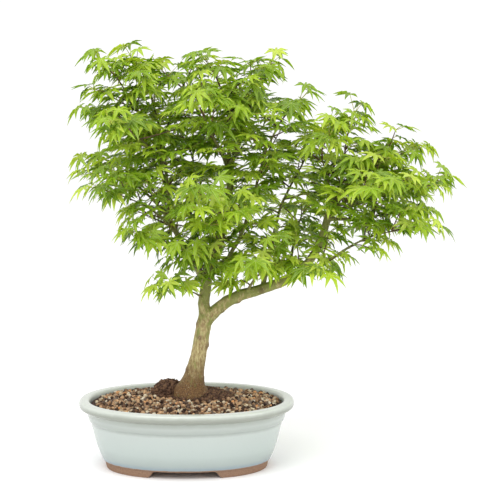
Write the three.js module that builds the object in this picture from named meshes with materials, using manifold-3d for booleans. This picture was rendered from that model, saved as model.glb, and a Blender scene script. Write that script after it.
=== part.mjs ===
// A Japanese maple bonsai in a glazed oval pot, in millimetres with +Z up.
// Everything is laid out round the pot's centre, with the table at z = 0. The last lines slide the
// whole plant so that the origin is the middle of its bounding box's bottom face.
import * as THREE from 'three';
import { mergeVertices } from 'three/addons/utils/BufferGeometryUtils.js';
import Module from 'manifold-3d';

const wasm = await Module();
wasm.setup();

// ---- Driving dimensions ---------------------------------------------------------------------
const POT_LENGTH = 305;             // rim, end to end
const POT_WIDTH = 237;              // rim, front to back
const POT_HEIGHT = 97;
const LIP_WIDTH = 14.5;             // flat top of the rim
const WALL = 8;
const FLOOR_TOP = 18;               // inside floor above the table
const FOOT_HEIGHT = 10;
const FOOT_LENGTH = 229;            // foot ring, end to end on the table
const FOOT_RING_WIDTH = 15;
const OVAL_POWER = 2.14;            // plan curve: 2 is an ellipse, more is squarer
const PLAN_STEPS = 40;              // straight sides round the oval

const NOTCH_HALF_TOP = 41;          // drainage notch under the front and the back wall
const NOTCH_HALF_FOOT = 52;
const DRAIN_HOLE_RADIUS = 11;
const DRAIN_HOLE_X = 55;

const SCREEN_STRANDS = 4;           // plastic mesh square over each drain hole
const SCREEN_THICKNESS = 1.2;
const SCREEN_PITCH = 10;
const SCREEN_OPENING = 7;
const WIRE_RADIUS = 1;
const CLIP_HALF_WIDTH = 8;

const GAP = 0.35;                   // air between neighbouring solids
const GRAVEL_EDGE = 90;             // gravel height at the rim
const GRAVEL_CROWN = 97;            // gravel height beside the trunk

const LEAF_LOBE = 34;               // longest lobe of a full-grown leaf, from the stalk
const LEAF_HALF_THICKNESS = 0.8;
const SHOOT_LENGTH = 42;
const PETIOLE_LENGTH = 22;

// ---- Solids ---------------------------------------------------------------------------------
const UP = new THREE.Vector3(0, 0, 1);

// Turns a closed geometry into a manifold solid.
function solidFrom(geometry) {
  const bare = geometry.clone();
  bare.deleteAttribute('normal');
  bare.deleteAttribute('uv');
  const merged = mergeVertices(bare, 1e-4);
  return new wasm.Manifold(new wasm.Mesh({
    numProp: 3,
    vertProperties: new Float32Array(merged.attributes.position.array),
    triVerts: new Uint32Array(merged.index.array),
  }));
}

// Turns a manifold solid back into a geometry with flat-shaded normals.
function geometryFrom(solid) {
  const mesh = solid.getMesh();
  const geometry = new THREE.BufferGeometry();
  geometry.setAttribute('position', new THREE.BufferAttribute(new Float32Array(mesh.vertProperties), 3));
  geometry.setIndex(new THREE.BufferAttribute(new Uint32Array(mesh.triVerts), 1));
  geometry.computeVertexNormals();
  return geometry;
}

// Moves every vertex of a geometry by a function of its position.
function reshape(geometry, move) {
  const positions = geometry.attributes.position;
  const point = new THREE.Vector3();
  for (let i = 0; i < positions.count; i += 1) {
    point.fromBufferAttribute(positions, i);
    move(point);
    positions.setXYZ(i, point.x, point.y, point.z);
  }
  return geometry;
}

// A closed tapering tube along a curve. radiusAt takes 0 at the foot to 1 at the end.
function tube(curve, radiusAt, sides, steps) {
  const frames = curve.computeFrenetFrames(steps);
  const stock = new THREE.CylinderGeometry(1, 1, 1, sides, steps);
  reshape(stock, (point) => {
    const row = Math.round((point.y + 0.5) * steps);
    const along = row / steps;
    const radius = radiusAt(along);
    const { x, z } = point;
    point.copy(curve.getPointAt(along));
    point.addScaledVector(frames.normals[row], x * radius);
    point.addScaledVector(frames.binormals[row], -z * radius);
  });
  return solidFrom(stock);
}

function ellipsoid(centre, radii, around, rings) {
  const ball = new THREE.SphereGeometry(1, around, rings);
  ball.rotateX(Math.PI / 2);
  ball.scale(...radii);
  ball.translate(...centre);
  return solidFrom(ball);
}

// ---- Pot ------------------------------------------------------------------------------------
const HALF_LENGTH = POT_LENGTH / 2;
const SQUEEZE = (POT_LENGTH - POT_WIDTH) / 2;
const CENTRE_RATIO = 0.5;

// Spins a profile of [half-length, height] points round Z into an oval ring: each point keeps the
// same distance from the rim along X and along Y, and near the middle the oval closes in evenly.
function ovalSolid(profile) {
  const points = profile.map(([reach, height]) => new THREE.Vector2(reach, height));
  const spun = new THREE.LatheGeometry(points, PLAN_STEPS);
  spun.rotateX(Math.PI / 2);
  reshape(spun, (point) => {
    const reach = Math.hypot(point.x, point.y);
    if (reach < 1e-6) return;
    const across = Math.max(reach - SQUEEZE, reach * CENTRE_RATIO);
    const angle = Math.atan2(point.y, point.x);
    const cosine = Math.cos(angle);
    const sine = Math.sin(angle);
    point.x = reach * Math.sign(cosine) * Math.abs(cosine) ** (2 / OVAL_POWER);
    point.y = across * Math.sign(sine) * Math.abs(sine) ** (2 / OVAL_POWER);
  });
  return solidFrom(spun);
}

const LIP_INNER = HALF_LENGTH - LIP_WIDTH;
const FOOT_OUTER = FOOT_LENGTH / 2;

// Outer wall from the glaze line up to the lip: [half-length, height above the table].
const OUTER_WALL = [
  [118.5, FOOT_HEIGHT + 1],
  [121.5, 17],
  [128, 33],
  [136.2, 66.5],
  [138.5, 68.3],
  [139.4, 71],
  [141.2, 78.5],
  [142.8, 82],
  [147, 84.5],
  [HALF_LENGTH - 1.2, 86.5],
  [HALF_LENGTH, 89.5],
  [HALF_LENGTH, 94],
  [HALF_LENGTH - 2.5, POT_HEIGHT],
];
const INNER_WALL = [
  [LIP_INNER + 2, POT_HEIGHT],
  [LIP_INNER, POT_HEIGHT - 2],
  [134, 82],
  [134 - WALL, 56],
  [129 - WALL, 33],
  [115, 22],
  [108, FLOOR_TOP],
];

function makePot() {
  const body = ovalSolid([
    [0, FOOT_HEIGHT],
    [FOOT_OUTER - FOOT_RING_WIDTH, FOOT_HEIGHT],
    [FOOT_OUTER - FOOT_RING_WIDTH + 1, 0],
    [FOOT_OUTER, 0],
    [FOOT_OUTER + 2, FOOT_HEIGHT],
    ...OUTER_WALL,
    ...INNER_WALL,
    [0, FLOOR_TOP],
  ]);

  const notch = new THREE.Shape();
  notch.moveTo(-NOTCH_HALF_FOOT - 1, -1);
  notch.lineTo(NOTCH_HALF_FOOT + 1, -1);
  notch.lineTo(NOTCH_HALF_TOP, FOOT_HEIGHT - 0.5);
  notch.lineTo(-NOTCH_HALF_TOP, FOOT_HEIGHT - 0.5);
  const notchGeometry = new THREE.ExtrudeGeometry(notch, { depth: POT_WIDTH, bevelEnabled: false });
  notchGeometry.translate(0, 0, -POT_WIDTH / 2);
  notchGeometry.rotateX(Math.PI / 2);
  let pot = body.subtract(solidFrom(notchGeometry));

  for (const side of [-1, 1]) {
    const hole = new THREE.CylinderGeometry(DRAIN_HOLE_RADIUS, DRAIN_HOLE_RADIUS, 3 * FLOOR_TOP, 20);
    hole.rotateX(Math.PI / 2);
    hole.translate(side * DRAIN_HOLE_X, 0, FLOOR_TOP);
    pot = pot.subtract(solidFrom(hole));
  }
  return pot;
}

// ---- Drainage screens and their wire clips ----------------------------------------------------
const SCREEN_BOTTOM = FLOOR_TOP + GAP;
const SCREEN_TOP = SCREEN_BOTTOM + SCREEN_THICKNESS;

// A square grid: strands across and strands along, joined where they cross.
function makeScreen(centreX) {
  const strand = SCREEN_PITCH - SCREEN_OPENING;
  const length = (SCREEN_STRANDS - 1) * SCREEN_PITCH + strand;
  let grid = null;
  for (let k = 0; k < SCREEN_STRANDS; k += 1) {
    const offset = (k - (SCREEN_STRANDS - 1) / 2) * SCREEN_PITCH;
    for (const [x, y, sizeX, sizeY] of [[offset, 0, strand, length], [0, offset, length, strand]]) {
      const bar = new THREE.BoxGeometry(sizeX, sizeY, SCREEN_THICKNESS);
      bar.translate(centreX + x, y, SCREEN_BOTTOM + SCREEN_THICKNESS / 2);
      grid = grid ? grid.add(solidFrom(bar)) : solidFrom(bar);
    }
  }
  return grid;
}

// A staple of wire: a bar over the screen, two legs down through it and the drain hole, and two
// ends bent outwards under the pot's floor.
function makeClip(centreX) {
  const leg = CLIP_HALF_WIDTH;
  const top = SCREEN_TOP + GAP + WIRE_RADIUS;
  const bottom = FOOT_HEIGHT - GAP - WIRE_RADIUS - 0.5;
  const end = DRAIN_HOLE_RADIUS + 5;
  const bend = 1.5;
  const half = [
    [0, top],
    [leg - bend, top],
    [leg, top - bend],
    [leg, bottom + bend],
    [leg + bend, bottom],
    [end, bottom],
  ];
  const mirrored = half.slice(1).reverse().map(([x, z]) => [-x, z]);
  const route = new THREE.CurvePath();
  const points = [...mirrored, ...half].map(([x, z]) => new THREE.Vector3(centreX + x, 0, z));
  for (let i = 1; i < points.length; i += 1) {
    route.add(new THREE.LineCurve3(points[i - 1], points[i]));
  }
  return tube(route, () => WIRE_RADIUS, 5, 22);
}

// ---- Trunk and limbs ---------------------------------------------------------------------------
// Every limb is a smooth curve through hand-set points [x, y, z]. It tapers from the radius at its
// foot to the radius at its end, and carries its leafy shoots from the end inwards.
const LIMBS = [
  { name: 'left_stem', foot: 9, end: 4.4, shoots: 0, sides: 8,
    through: [[27, 0, 208], [24.5, 2, 236], [27.5, 4, 254], [31.5, 6, 279], [43, 8, 305], [53, 8, 343],
      [61, 6, 380], [63, 4, 432]] },
  { name: 'crown_left', foot: 3.6, end: 1.6, shoots: 2,
    through: [[63, 4, 426], [44, 14, 453], [26, 28, 484], [6, 40, 520], [-8, 44, 536]] },
  { name: 'crown_middle', foot: 3.4, end: 1.6, shoots: 2,
    through: [[63, 4, 428], [58, -8, 464], [60, -20, 502], [50, -28, 536]] },
  { name: 'crown_right', foot: 3.8, end: 1.5, shoots: 3,
    through: [[63, 4, 426], [76, 0, 460], [88, -2, 502], [96, 2, 532]] },
  { name: 'crown_back', foot: 3.4, end: 1.4, shoots: 1,
    through: [[62, 6, 410], [66, 38, 438], [70, 72, 472], [70, 96, 498]] },
  { name: 'crown_front', foot: 3.2, end: 1.4, shoots: 2,
    through: [[62, 4, 414], [52, -34, 444], [38, -68, 474], [28, -90, 498]] },
  { name: 'inner_straight', foot: 4, end: 1.6, shoots: 2,
    through: [[32, 6, 276], [62, -14, 302], [96, -24, 384], [106, -28, 436], [130, -38, 486]] },
  { name: 'inner_dark', foot: 3.6, end: 1.7, shoots: 1,
    through: [[31, 6, 288], [16, 20, 320], [5, 32, 360], [10, 42, 402], [8, 54, 436]] },
  { name: 'inner_front', foot: 3.6, end: 1.5, shoots: 2,
    through: [[40, 7, 298], [46, -28, 324], [46, -64, 354], [38, -92, 378]] },
  { name: 'inner_back', foot: 3.6, end: 1.5, shoots: 1,
    through: [[52, 8, 336], [48, 42, 358], [40, 76, 378], [30, 102, 394]] },
  { name: 'stem_front', foot: 2.6, end: 1.4, shoots: 1,
    through: [[28, 4, 262], [26, -16, 282], [20, -36, 296]] },
  { name: 'left_limb', foot: 5.8, end: 1.6, shoots: 2,
    through: [[26, 4, 262], [10, -2, 296], [-17, -10, 339], [-23, -12, 365], [-26, -10, 408], [-30, -6, 452],
      [-40, 0, 496], [-54, 6, 544]] },
  { name: 'left_top', foot: 3, end: 1.4, shoots: 2,
    through: [[-30, -7, 446], [-50, -16, 482], [-76, -24, 520], [-86, -28, 540]] },
  { name: 'left_upper', foot: 2.8, end: 1.3, shoots: 2,
    through: [[-27, -9, 424], [-52, -4, 452], [-78, 2, 474], [-92, 6, 484]] },
  { name: 'left_middle', foot: 3.2, end: 1.4, shoots: 2,
    through: [[-20, -11, 350], [-41, 2, 374], [-74, 18, 402], [-96, 24, 414]] },
  { name: 'left_lower', foot: 3, end: 1.3, shoots: 2,
    through: [[-12, -8, 332], [-28, -22, 352], [-54, -38, 374], [-74, -46, 384]] },
  { name: 'left_low', foot: 2.8, end: 1.3, shoots: 1,
    through: [[12, -1, 292], [-4, -14, 306], [-20, -26, 317], [-30, -32, 322]] },
  { name: 'left_back', foot: 2.8, end: 1.3, shoots: 1,
    through: [[-25, -11, 396], [-40, 26, 424], [-58, 60, 446], [-68, 84, 460]] },
  { name: 'left_front', foot: 2.8, end: 1.2, shoots: 1,
    through: [[-28, -8, 430], [-42, -38, 450], [-58, -66, 466], [-68, -82, 474]] },
  { name: 'low_left', foot: 2.6, end: 1.4, shoots: 1,
    through: [[24, 2, 236], [17, -12, 247], [8, -20, 252]] },
  { name: 'right_limb', foot: 9.5, end: 5.4, shoots: 0, sides: 8,
    through: [[28, 0, 208], [50, -4, 231], [74, -6, 245], [107, -8, 254], [146, -10, 270], [161, -10, 280],
      [173, -8, 293], [184, -6, 310], [193, -4, 333], [199, 0, 354], [203, 2, 366]] },
  { name: 'mid_riser', foot: 4, end: 1.5, shoots: 2,
    through: [[107, -7, 255], [118, 12, 300], [132, 24, 364], [147, 32, 396], [164, 40, 426], [176, 46, 450]] },
  { name: 'limb_front', foot: 2.8, end: 1.4, shoots: 2,
    through: [[84, -7, 248], [92, -26, 264], [96, -46, 276], [94, -60, 284]] },
  { name: 'limb_back', foot: 3.4, end: 1.4, shoots: 1,
    through: [[146, -9, 271], [150, 30, 302], [158, 68, 330], [166, 94, 350]] },
  { name: 'limb_hanging', foot: 2.6, end: 1.3, shoots: 1,
    through: [[158, -10, 279], [160, -24, 286], [164, -34, 286]] },
  { name: 'right_lower', foot: 3.4, end: 1.4, shoots: 2,
    through: [[165, -10, 284], [190, -22, 291], [233, -34, 320], [262, -42, 334], [286, -48, 340]] },
  { name: 'right_under', foot: 3.2, end: 1.4, shoots: 1,
    through: [[198, 0, 352], [237, -14, 354], [262, -22, 358], [284, -28, 362]] },
  { name: 'right_outer', foot: 4, end: 1.3, shoots: 2,
    through: [[202, 2, 362], [223, -6, 369], [263, -14, 392], [288, -16, 400], [308, -14, 404]] },
  { name: 'right_inner', foot: 3.4, end: 1.4, shoots: 2,
    through: [[202, 2, 361], [237, 16, 370], [262, 30, 378], [284, 40, 384]] },
  { name: 'right_top', foot: 3.4, end: 1.3, shoots: 2,
    through: [[203, 2, 362], [232, 4, 398], [256, 4, 420], [276, 2, 432]] },
  { name: 'right_riser', foot: 3.6, end: 1.4, shoots: 1,
    through: [[203, 2, 363], [216, 10, 396], [222, 18, 430], [226, 24, 462]] },
  { name: 'right_crown', foot: 3.4, end: 1.4, shoots: 2,
    through: [[202, 2, 363], [202, -12, 388], [196, -28, 416], [188, -40, 440]] },
  { name: 'right_back', foot: 3, end: 1.3, shoots: 1,
    through: [[202, 3, 360], [214, 38, 384], [228, 70, 398], [240, 90, 406]] },
  { name: 'right_front', foot: 3, end: 1.2, shoots: 1,
    through: [[202, 0, 360], [214, -38, 376], [230, -68, 388], [244, -86, 396]] },
];

const TRUNK_THROUGH = [[7, 2, 62], [7, 1, 100], [9, 0, 122], [13.4, 0, 143], [18, 0, 165], [22.5, 0, 192],
  [28, 0, 216]];
const TRUNK_RADIUS = 10.4;
const FLARE_RADIUS = 16.5;           // extra radius at soil level, dying away upwards
const FLARE_HEIGHT = 19;
const SOIL_LEVEL = 102;
const BURIED_DEPTH = 45;            // the stump narrows over this height below the soil
const ROOT_COUNT = 6;
const ROOT_FOOT_RADIUS = 6.5;
const ROOT_TIP_RADIUS = 2;

function smoothCurve(points) {
  return new THREE.CatmullRomCurve3(points.map((point) => new THREE.Vector3(...point)));
}

function trunkSolid(extra) {
  const curve = smoothCurve(TRUNK_THROUGH);
  const radiusAt = (along) => {
    const height = curve.getPointAt(along).z;
    const flare = FLARE_RADIUS * Math.exp(-Math.max(height - SOIL_LEVEL, -4) / FLARE_HEIGHT);
    const buried = Math.min(1, (height - SOIL_LEVEL) / BURIED_DEPTH + 1.2);
    return (TRUNK_RADIUS + flare) * buried + extra;
  };
  let trunk = tube(curve, radiusAt, 12, 11);
  for (let k = 0; k < ROOT_COUNT; k += 1) {
    const angle = ((k + 0.3) / ROOT_COUNT) * 2 * Math.PI;
    const outwards = (reach, height) => [
      TRUNK_THROUGH[1][0] + reach * Math.cos(angle), 1 + 0.8 * reach * Math.sin(angle), height];
    const root = smoothCurve([outwards(8, 104), outwards(24, 95), outwards(40, 82), outwards(54, 66)]);
    const radiusAlong = (along) => THREE.MathUtils.lerp(ROOT_FOOT_RADIUS, ROOT_TIP_RADIUS, along) + extra;
    trunk = trunk.add(tube(root, radiusAlong, 6, 3));
  }
  return trunk;
}

function limbSolid(limb) {
  const { foot, end, sides = 5 } = limb;
  const taper = (along) => end + (foot - end) * (1 - along) ** 1.5;
  return tube(limb.curve, taper, sides, 1 + limb.through.length);
}

for (const limb of LIMBS) {
  limb.curve = smoothCurve(limb.through);
}

function makeTrunkAndLimbs() {
  let wood = trunkSolid(0);
  for (const limb of LIMBS) {
    wood = wood.add(limbSolid(limb));
  }
  return wood;
}

// ---- Root ball and gravel ------------------------------------------------------------------------
const BALL = { centre: [18, 8, 70], radii: [72, 56, 38] };
const MOUND = { centre: [-26, 16, 93], radii: [27, 25, 26.5] };

function ballSolid(extra) {
  const grown = ({ centre, radii }, around, rings) => ellipsoid(centre, radii.map((radius) => radius + extra),
    around, rings);
  return grown(BALL, 18, 9).add(grown(MOUND, 12, 7));
}

function makeRootBall() {
  return ballSolid(0).subtract(trunkSolid(GAP));
}

function makeGravel() {
  const inset = INNER_WALL.slice(2).map(([reach, height]) => [reach - GAP, height + GAP]);
  const edge = THREE.MathUtils.lerp(134, LIP_INNER, (GRAVEL_EDGE - 82) / 13) - GAP;
  let gravel = ovalSolid([
    [0, FLOOR_TOP + GAP],
    ...inset.reverse(),
    [edge, GRAVEL_EDGE],
    [100, GRAVEL_EDGE + 4],
    [60, GRAVEL_CROWN],
    [0, GRAVEL_CROWN],
  ]);
  gravel = gravel.subtract(ballSolid(GAP)).subtract(trunkSolid(GAP));
  const pocketTop = SCREEN_TOP + 2 * WIRE_RADIUS + 3 * GAP;
  for (const side of [-1, 1]) {
    const depth = pocketTop - FLOOR_TOP + 1;
    const size = SCREEN_STRANDS * SCREEN_PITCH + 2 * GAP;
    const pocket = new THREE.BoxGeometry(size, size, depth);
    pocket.translate(side * DRAIN_HOLE_X, 0, pocketTop - depth / 2);
    gravel = gravel.subtract(solidFrom(pocket));
  }
  return gravel;
}

// ---- Leafy shoots -----------------------------------------------------------------------------
// Five pointed lobes, from the middle one outwards: bearing in degrees and length against the longest.
const LOBE_BEARINGS = [0, 38, 80];
const LOBE_LENGTHS = [1, 0.92, 0.68];
const NOTCH_LENGTH = 0.3;           // how far out the leaf is whole, between two lobes
const SHOULDER_BEARING = 60;        // the two corners beside the stalk, measured from the stalk
const SHOULDER_LENGTH = 0.06;
const STALK_CORNER = 6;             // corners counted from the middle lobe's tip to the stalk's foot
const DROOP = 0.28;                 // how far a tip hangs below the middle, against its length

const polar = (reach, degrees) => {
  const bearing = THREE.MathUtils.degToRad(degrees);
  return new THREE.Vector3(reach * Math.cos(bearing), reach * Math.sin(bearing), 0);
};

// One leaf with its stalk, in its own frame: middle at the origin, middle lobe along +X and upper
// face to +Z. It is a two-sided cone whose rim goes from tip to notch to tip, and out along the
// stalk to its foot, which is a point inside the twig.
function leafSolid(lobe, halfThickness, stalkFoot) {
  const stalkBearing = THREE.MathUtils.radToDeg(Math.atan2(stalkFoot.y, stalkFoot.x));
  const blade = new THREE.SphereGeometry(1, 2 * STALK_CORNER, 2);
  blade.rotateX(Math.PI / 2);
  reshape(blade, (point) => {
    if (Math.abs(point.z) > 0.5) {
      point.set(0, 0, Math.sign(point.z) * halfThickness);
      return;
    }
    const turn = Math.round((Math.atan2(point.y, point.x) / Math.PI) * STALK_CORNER);
    const side = Math.sign(turn);
    const corner = Math.abs(turn);
    if (corner === STALK_CORNER) {
      point.copy(stalkFoot);
    } else if (corner === STALK_CORNER - 1) {
      point.copy(polar(SHOULDER_LENGTH * lobe, stalkBearing - side * SHOULDER_BEARING));
    } else {
      const isTip = corner % 2 === 0;
      const inner = LOBE_BEARINGS[Math.floor(corner / 2)];
      const outer = LOBE_BEARINGS[Math.ceil(corner / 2)];
      const reach = isTip ? LOBE_LENGTHS[corner / 2] : NOTCH_LENGTH;
      point.copy(polar(reach * lobe, (side * (inner + outer)) / 2));
      point.z = -DROOP * reach * reach * lobe;
    }
  });
  return solidFrom(blade);
}

// The frame whose +X points along forward and whose +Z leans as far towards lean as that allows.
function leafFrame(origin, forward, lean) {
  const x = forward.clone().normalize();
  const z = lean.clone().addScaledVector(x, -lean.dot(x)).normalize();
  const y = new THREE.Vector3().crossVectors(z, x);
  return new THREE.Matrix4().makeBasis(x, y, z).setPosition(origin);
}

// Small repeatable pseudo-random numbers from 0 to 1.
let seed = 20731;
function chance() {
  seed = (seed * 1103515245 + 12345) % 2147483648;
  return seed / 2147483648;
}
const between = (low, high) => low + (high - low) * chance();

// Everything grown so far, with its box and the shoot it belongs to.
const grown = [];

function keep(solid, owner) {
  grown.push({ solid, owner, box: solid.boundingBox() });
}

function boxesMeet(a, b) {
  return a.min.every((low, axis) => low < b.max[axis] && b.min[axis] < a.max[axis]);
}

function isFree(solid, exceptOwner) {
  const box = solid.boundingBox();
  return grown.every((other) => other.owner === exceptOwner || !boxesMeet(box, other.box)
    || solid.intersect(other.solid).isEmpty());
}

const CANOPY_AXIS = new THREE.Vector3(60, 0, 380);

function outwardsFrom(point) {
  const away = point.clone().sub(CANOPY_AXIS);
  away.z = 0;
  return away.normalize();
}

// A shoot's twig leaves its limb square to the bark and curves towards its own direction.
function twigCurve(limb, order, turn) {
  const along = 1 - 0.3 * order;
  const tangent = limb.curve.getTangentAt(along);
  const root = limb.curve.getPointAt(along);
  const radius = limb.end + (limb.foot - limb.end) * (1 - along) ** 1.5;
  const side = new THREE.Vector3().crossVectors(tangent, UP).normalize();
  const away = outwardsFrom(root);
  const start = tangent.clone();
  const aim = tangent.clone().multiplyScalar(0.9).addScaledVector(away, 0.5);
  if (order > 0) {
    const hand = order % 2 === 0 ? 1 : -1;
    const sideUp = new THREE.Vector3().crossVectors(side, tangent);
    start.copy(side).multiplyScalar(hand * Math.cos(turn)).addScaledVector(sideUp, Math.abs(Math.sin(turn)));
    aim.addScaledVector(start, 1.3);
  } else {
    aim.addScaledVector(side, Math.sin(turn) * 0.5);
  }
  aim.normalize();
  const first = root.clone().addScaledVector(start, (order > 0 ? radius : 0) + GAP);
  const elbow = first.clone().addScaledVector(start, SHOOT_LENGTH * 0.3);
  const tip = elbow.clone().addScaledVector(aim, SHOOT_LENGTH * 0.7);
  return new THREE.QuadraticBezierCurve3(first, elbow, tip);
}

// The five leaf places on a shoot: two opposite pairs and one leaf at the tip.
const TWIG_STEPS = 3;
const LEAF_PLACES = [
  { along: 1 / TWIG_STEPS, side: -1 },
  { along: 1 / TWIG_STEPS, side: 1 },
  { along: 2 / TWIG_STEPS, side: -1 },
  { along: 2 / TWIG_STEPS, side: 1 },
  { along: 0.96, side: 0 },
];
const LEAF_ATTEMPTS = 24;
const STALK_SWING = 38;             // most degrees that a stalk may leave the leaf's own axis

function leafOnTwig(twig, place, owner) {
  const node = twig.getPointAt(place.along);
  const tangent = twig.getTangentAt(place.along);
  const across = new THREE.Vector3().crossVectors(tangent, UP).normalize();
  for (let attempt = 0; attempt < LEAF_ATTEMPTS; attempt += 1) {
    const lobe = LEAF_LOBE * between(0.8, 1.05) * (attempt > LEAF_ATTEMPTS / 2 ? 0.8 : 1);
    const heading = across.clone().multiplyScalar(place.side * between(0.7, 1.1));
    heading.addScaledVector(tangent, place.side === 0 ? 1 : between(0.2, 0.8));
    heading.addScaledVector(UP, between(-0.25, 0.45)).normalize();
    const centre = node.clone().addScaledVector(heading, PETIOLE_LENGTH * between(0.7, 1.25));
    const forward = heading.clone().addScaledVector(outwardsFrom(centre), between(0, 0.5));
    forward.z = -between(0.25, 1.2);
    const frame = leafFrame(centre, forward, UP.clone().addScaledVector(heading, between(-0.2, 0.2)));
    const foot = node.clone().applyMatrix4(frame.clone().invert());
    const swing = THREE.MathUtils.radToDeg(Math.atan2(foot.y, -foot.x));
    const leaf = (extra, size, end) => leafSolid(size, LEAF_HALF_THICKNESS + extra, end)
      .transform(frame.elements);
    if (Math.abs(swing) < STALK_SWING
      && isFree(leaf(0.5, lobe * 1.03, foot.clone().setLength(0.1 * lobe)), null)
      && isFree(leaf(0.4, lobe * 1.03, foot), owner)) {
      const grownLeaf = leaf(0, lobe, foot);
      keep(grownLeaf, owner);
      return grownLeaf;
    }
  }
  return null;
}

function growShoots() {
  const shoots = [];
  for (const limb of LIMBS) {
    for (let order = 0; order < limb.shoots; order += 1) {
      const name = `${limb.name}_shoot_${order + 1}`;
      for (let attempt = 0; attempt < 12; attempt += 1) {
        const twig = twigCurve(limb, order, between(-0.9, 0.9));
        if (isFree(tube(twig, () => 1.6, 5, TWIG_STEPS), null)) {
          const solid = tube(twig, (along) => 1.3 - 0.5 * along, 5, TWIG_STEPS);
          keep(solid, name);
          shoots.push({ name, twig, solid });
          break;
        }
      }
    }
  }
  for (const place of LEAF_PLACES) {
    for (const shoot of shoots) {
      const leaf = leafOnTwig(shoot.twig, place, shoot.name);
      const joined = leaf ? shoot.solid.add(leaf) : shoot.solid;
      if (joined.decompose().length === 1) shoot.solid = joined;
    }
  }
  return shoots;
}

// ---- Materials and assembly ---------------------------------------------------------------------
const MATERIALS = {
  glaze: new THREE.MeshStandardMaterial({ color: '#cfdad6', roughness: 0.3, metalness: 0 }),
  screen: new THREE.MeshStandardMaterial({ color: '#2b2f2c', roughness: 0.6, metalness: 0 }),
  wire: new THREE.MeshStandardMaterial({ color: '#8a6a4a', roughness: 0.45, metalness: 0.9 }),
  soil: new THREE.MeshStandardMaterial({ color: '#4a3326', roughness: 0.95, metalness: 0 }),
  gravel: new THREE.MeshStandardMaterial({ color: '#917459', roughness: 0.9, metalness: 0 }),
  bark: new THREE.MeshStandardMaterial({ color: '#9c9066', roughness: 0.85, metalness: 0 }),
  leaf: new THREE.MeshStandardMaterial({ color: '#7c9a30', roughness: 0.55, metalness: 0 }),
};

const bonsai = new THREE.Group();

function addPiece(name, solid, material) {
  const mesh = new THREE.Mesh(geometryFrom(solid), material);
  mesh.name = name;
  bonsai.add(mesh);
}

addPiece('pot', makePot(), MATERIALS.glaze);
for (const [side, label] of [[-1, 'left'], [1, 'right']]) {
  addPiece(`drainage_screen_${label}`, makeScreen(side * DRAIN_HOLE_X), MATERIALS.screen);
  addPiece(`screen_clip_${label}`, makeClip(side * DRAIN_HOLE_X), MATERIALS.wire);
}
addPiece('root_ball', makeRootBall(), MATERIALS.soil);
addPiece('gravel_mix', makeGravel(), MATERIALS.gravel);

const wood = makeTrunkAndLimbs();
addPiece('trunk_and_limbs', wood, MATERIALS.bark);
keep(wood, 'trunk_and_limbs');

for (const shoot of growShoots()) {
  addPiece(shoot.name, shoot.solid, MATERIALS.leaf);
}

const box = new THREE.Box3().setFromObject(bonsai);
const middle = box.getCenter(new THREE.Vector3());
bonsai.position.set(-middle.x, -middle.y, -box.min.z);
bonsai.updateMatrixWorld(true);

export default bonsai;
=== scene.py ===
# %% [markdown]
# # A maple bonsai in an oval glazed pot
#
# A bonsai is an ordinary tree kept small in a shallow pot. This one is a Japanese maple: a bare stem
# rises from a bed of coarse grit, and thin limbs carry flat pads of hand-shaped leaves. A measured model
# already says where every part stands. This lesson gives those parts the surfaces that the eye expects:
# poured glaze, loose grit, smooth bark and thin leaves that let light through. The first line that loads
# the frame gives all of it in metres, with the table at height zero.

import bmesh
import bpy
import numpy as np
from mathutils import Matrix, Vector
from mathutils.bvhtree import BVHTree


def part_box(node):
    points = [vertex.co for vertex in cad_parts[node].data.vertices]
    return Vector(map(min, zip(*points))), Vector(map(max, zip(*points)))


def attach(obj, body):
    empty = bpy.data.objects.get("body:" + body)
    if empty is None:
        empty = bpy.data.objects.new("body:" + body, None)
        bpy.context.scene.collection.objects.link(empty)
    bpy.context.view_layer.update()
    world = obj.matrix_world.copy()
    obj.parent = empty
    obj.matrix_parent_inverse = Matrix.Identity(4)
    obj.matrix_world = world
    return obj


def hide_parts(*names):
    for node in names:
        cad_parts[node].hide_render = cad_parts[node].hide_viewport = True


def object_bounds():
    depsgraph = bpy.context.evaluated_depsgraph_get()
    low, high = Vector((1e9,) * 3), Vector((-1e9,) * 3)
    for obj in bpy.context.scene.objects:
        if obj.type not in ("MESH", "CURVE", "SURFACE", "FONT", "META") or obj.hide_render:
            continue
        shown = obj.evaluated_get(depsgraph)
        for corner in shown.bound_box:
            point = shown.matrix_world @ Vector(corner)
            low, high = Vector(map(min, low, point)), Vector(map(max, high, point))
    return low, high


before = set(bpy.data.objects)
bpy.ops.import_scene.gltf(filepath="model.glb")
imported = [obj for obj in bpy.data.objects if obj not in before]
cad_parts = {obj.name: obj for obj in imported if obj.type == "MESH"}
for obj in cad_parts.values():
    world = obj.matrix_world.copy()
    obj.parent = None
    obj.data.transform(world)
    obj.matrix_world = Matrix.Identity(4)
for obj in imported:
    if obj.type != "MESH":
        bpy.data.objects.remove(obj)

MM = 0.001
cad_box = [list(corner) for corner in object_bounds()]
shoots = sorted(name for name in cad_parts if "_shoot_" in name)
pot_low, pot_high = (np.array(corner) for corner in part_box("pot"))
pot_centre = np.array([*(pot_low + pot_high)[:2] / 2, 0.0])
print("whole part", np.round(cad_box, 4).tolist(), "with", len(shoots), "leafy shoots")
print("pot stands round", np.round(pot_centre, 4).tolist(), "and is", round(pot_high[2] / MM), "mm high")

# %% [markdown]
# ## Helpers
#
# A few small tools serve every piece. One turns a colour as people write it into the linear light that
# the renderer adds up. One adds a shader node with its settings and links, so a material reads as a
# list. One puts numpy arrays into a mesh, which is far quicker than adding corners one by one. Another
# reads a node of the measured model back as arrays, with its loose triangles joined at their corners.

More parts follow.
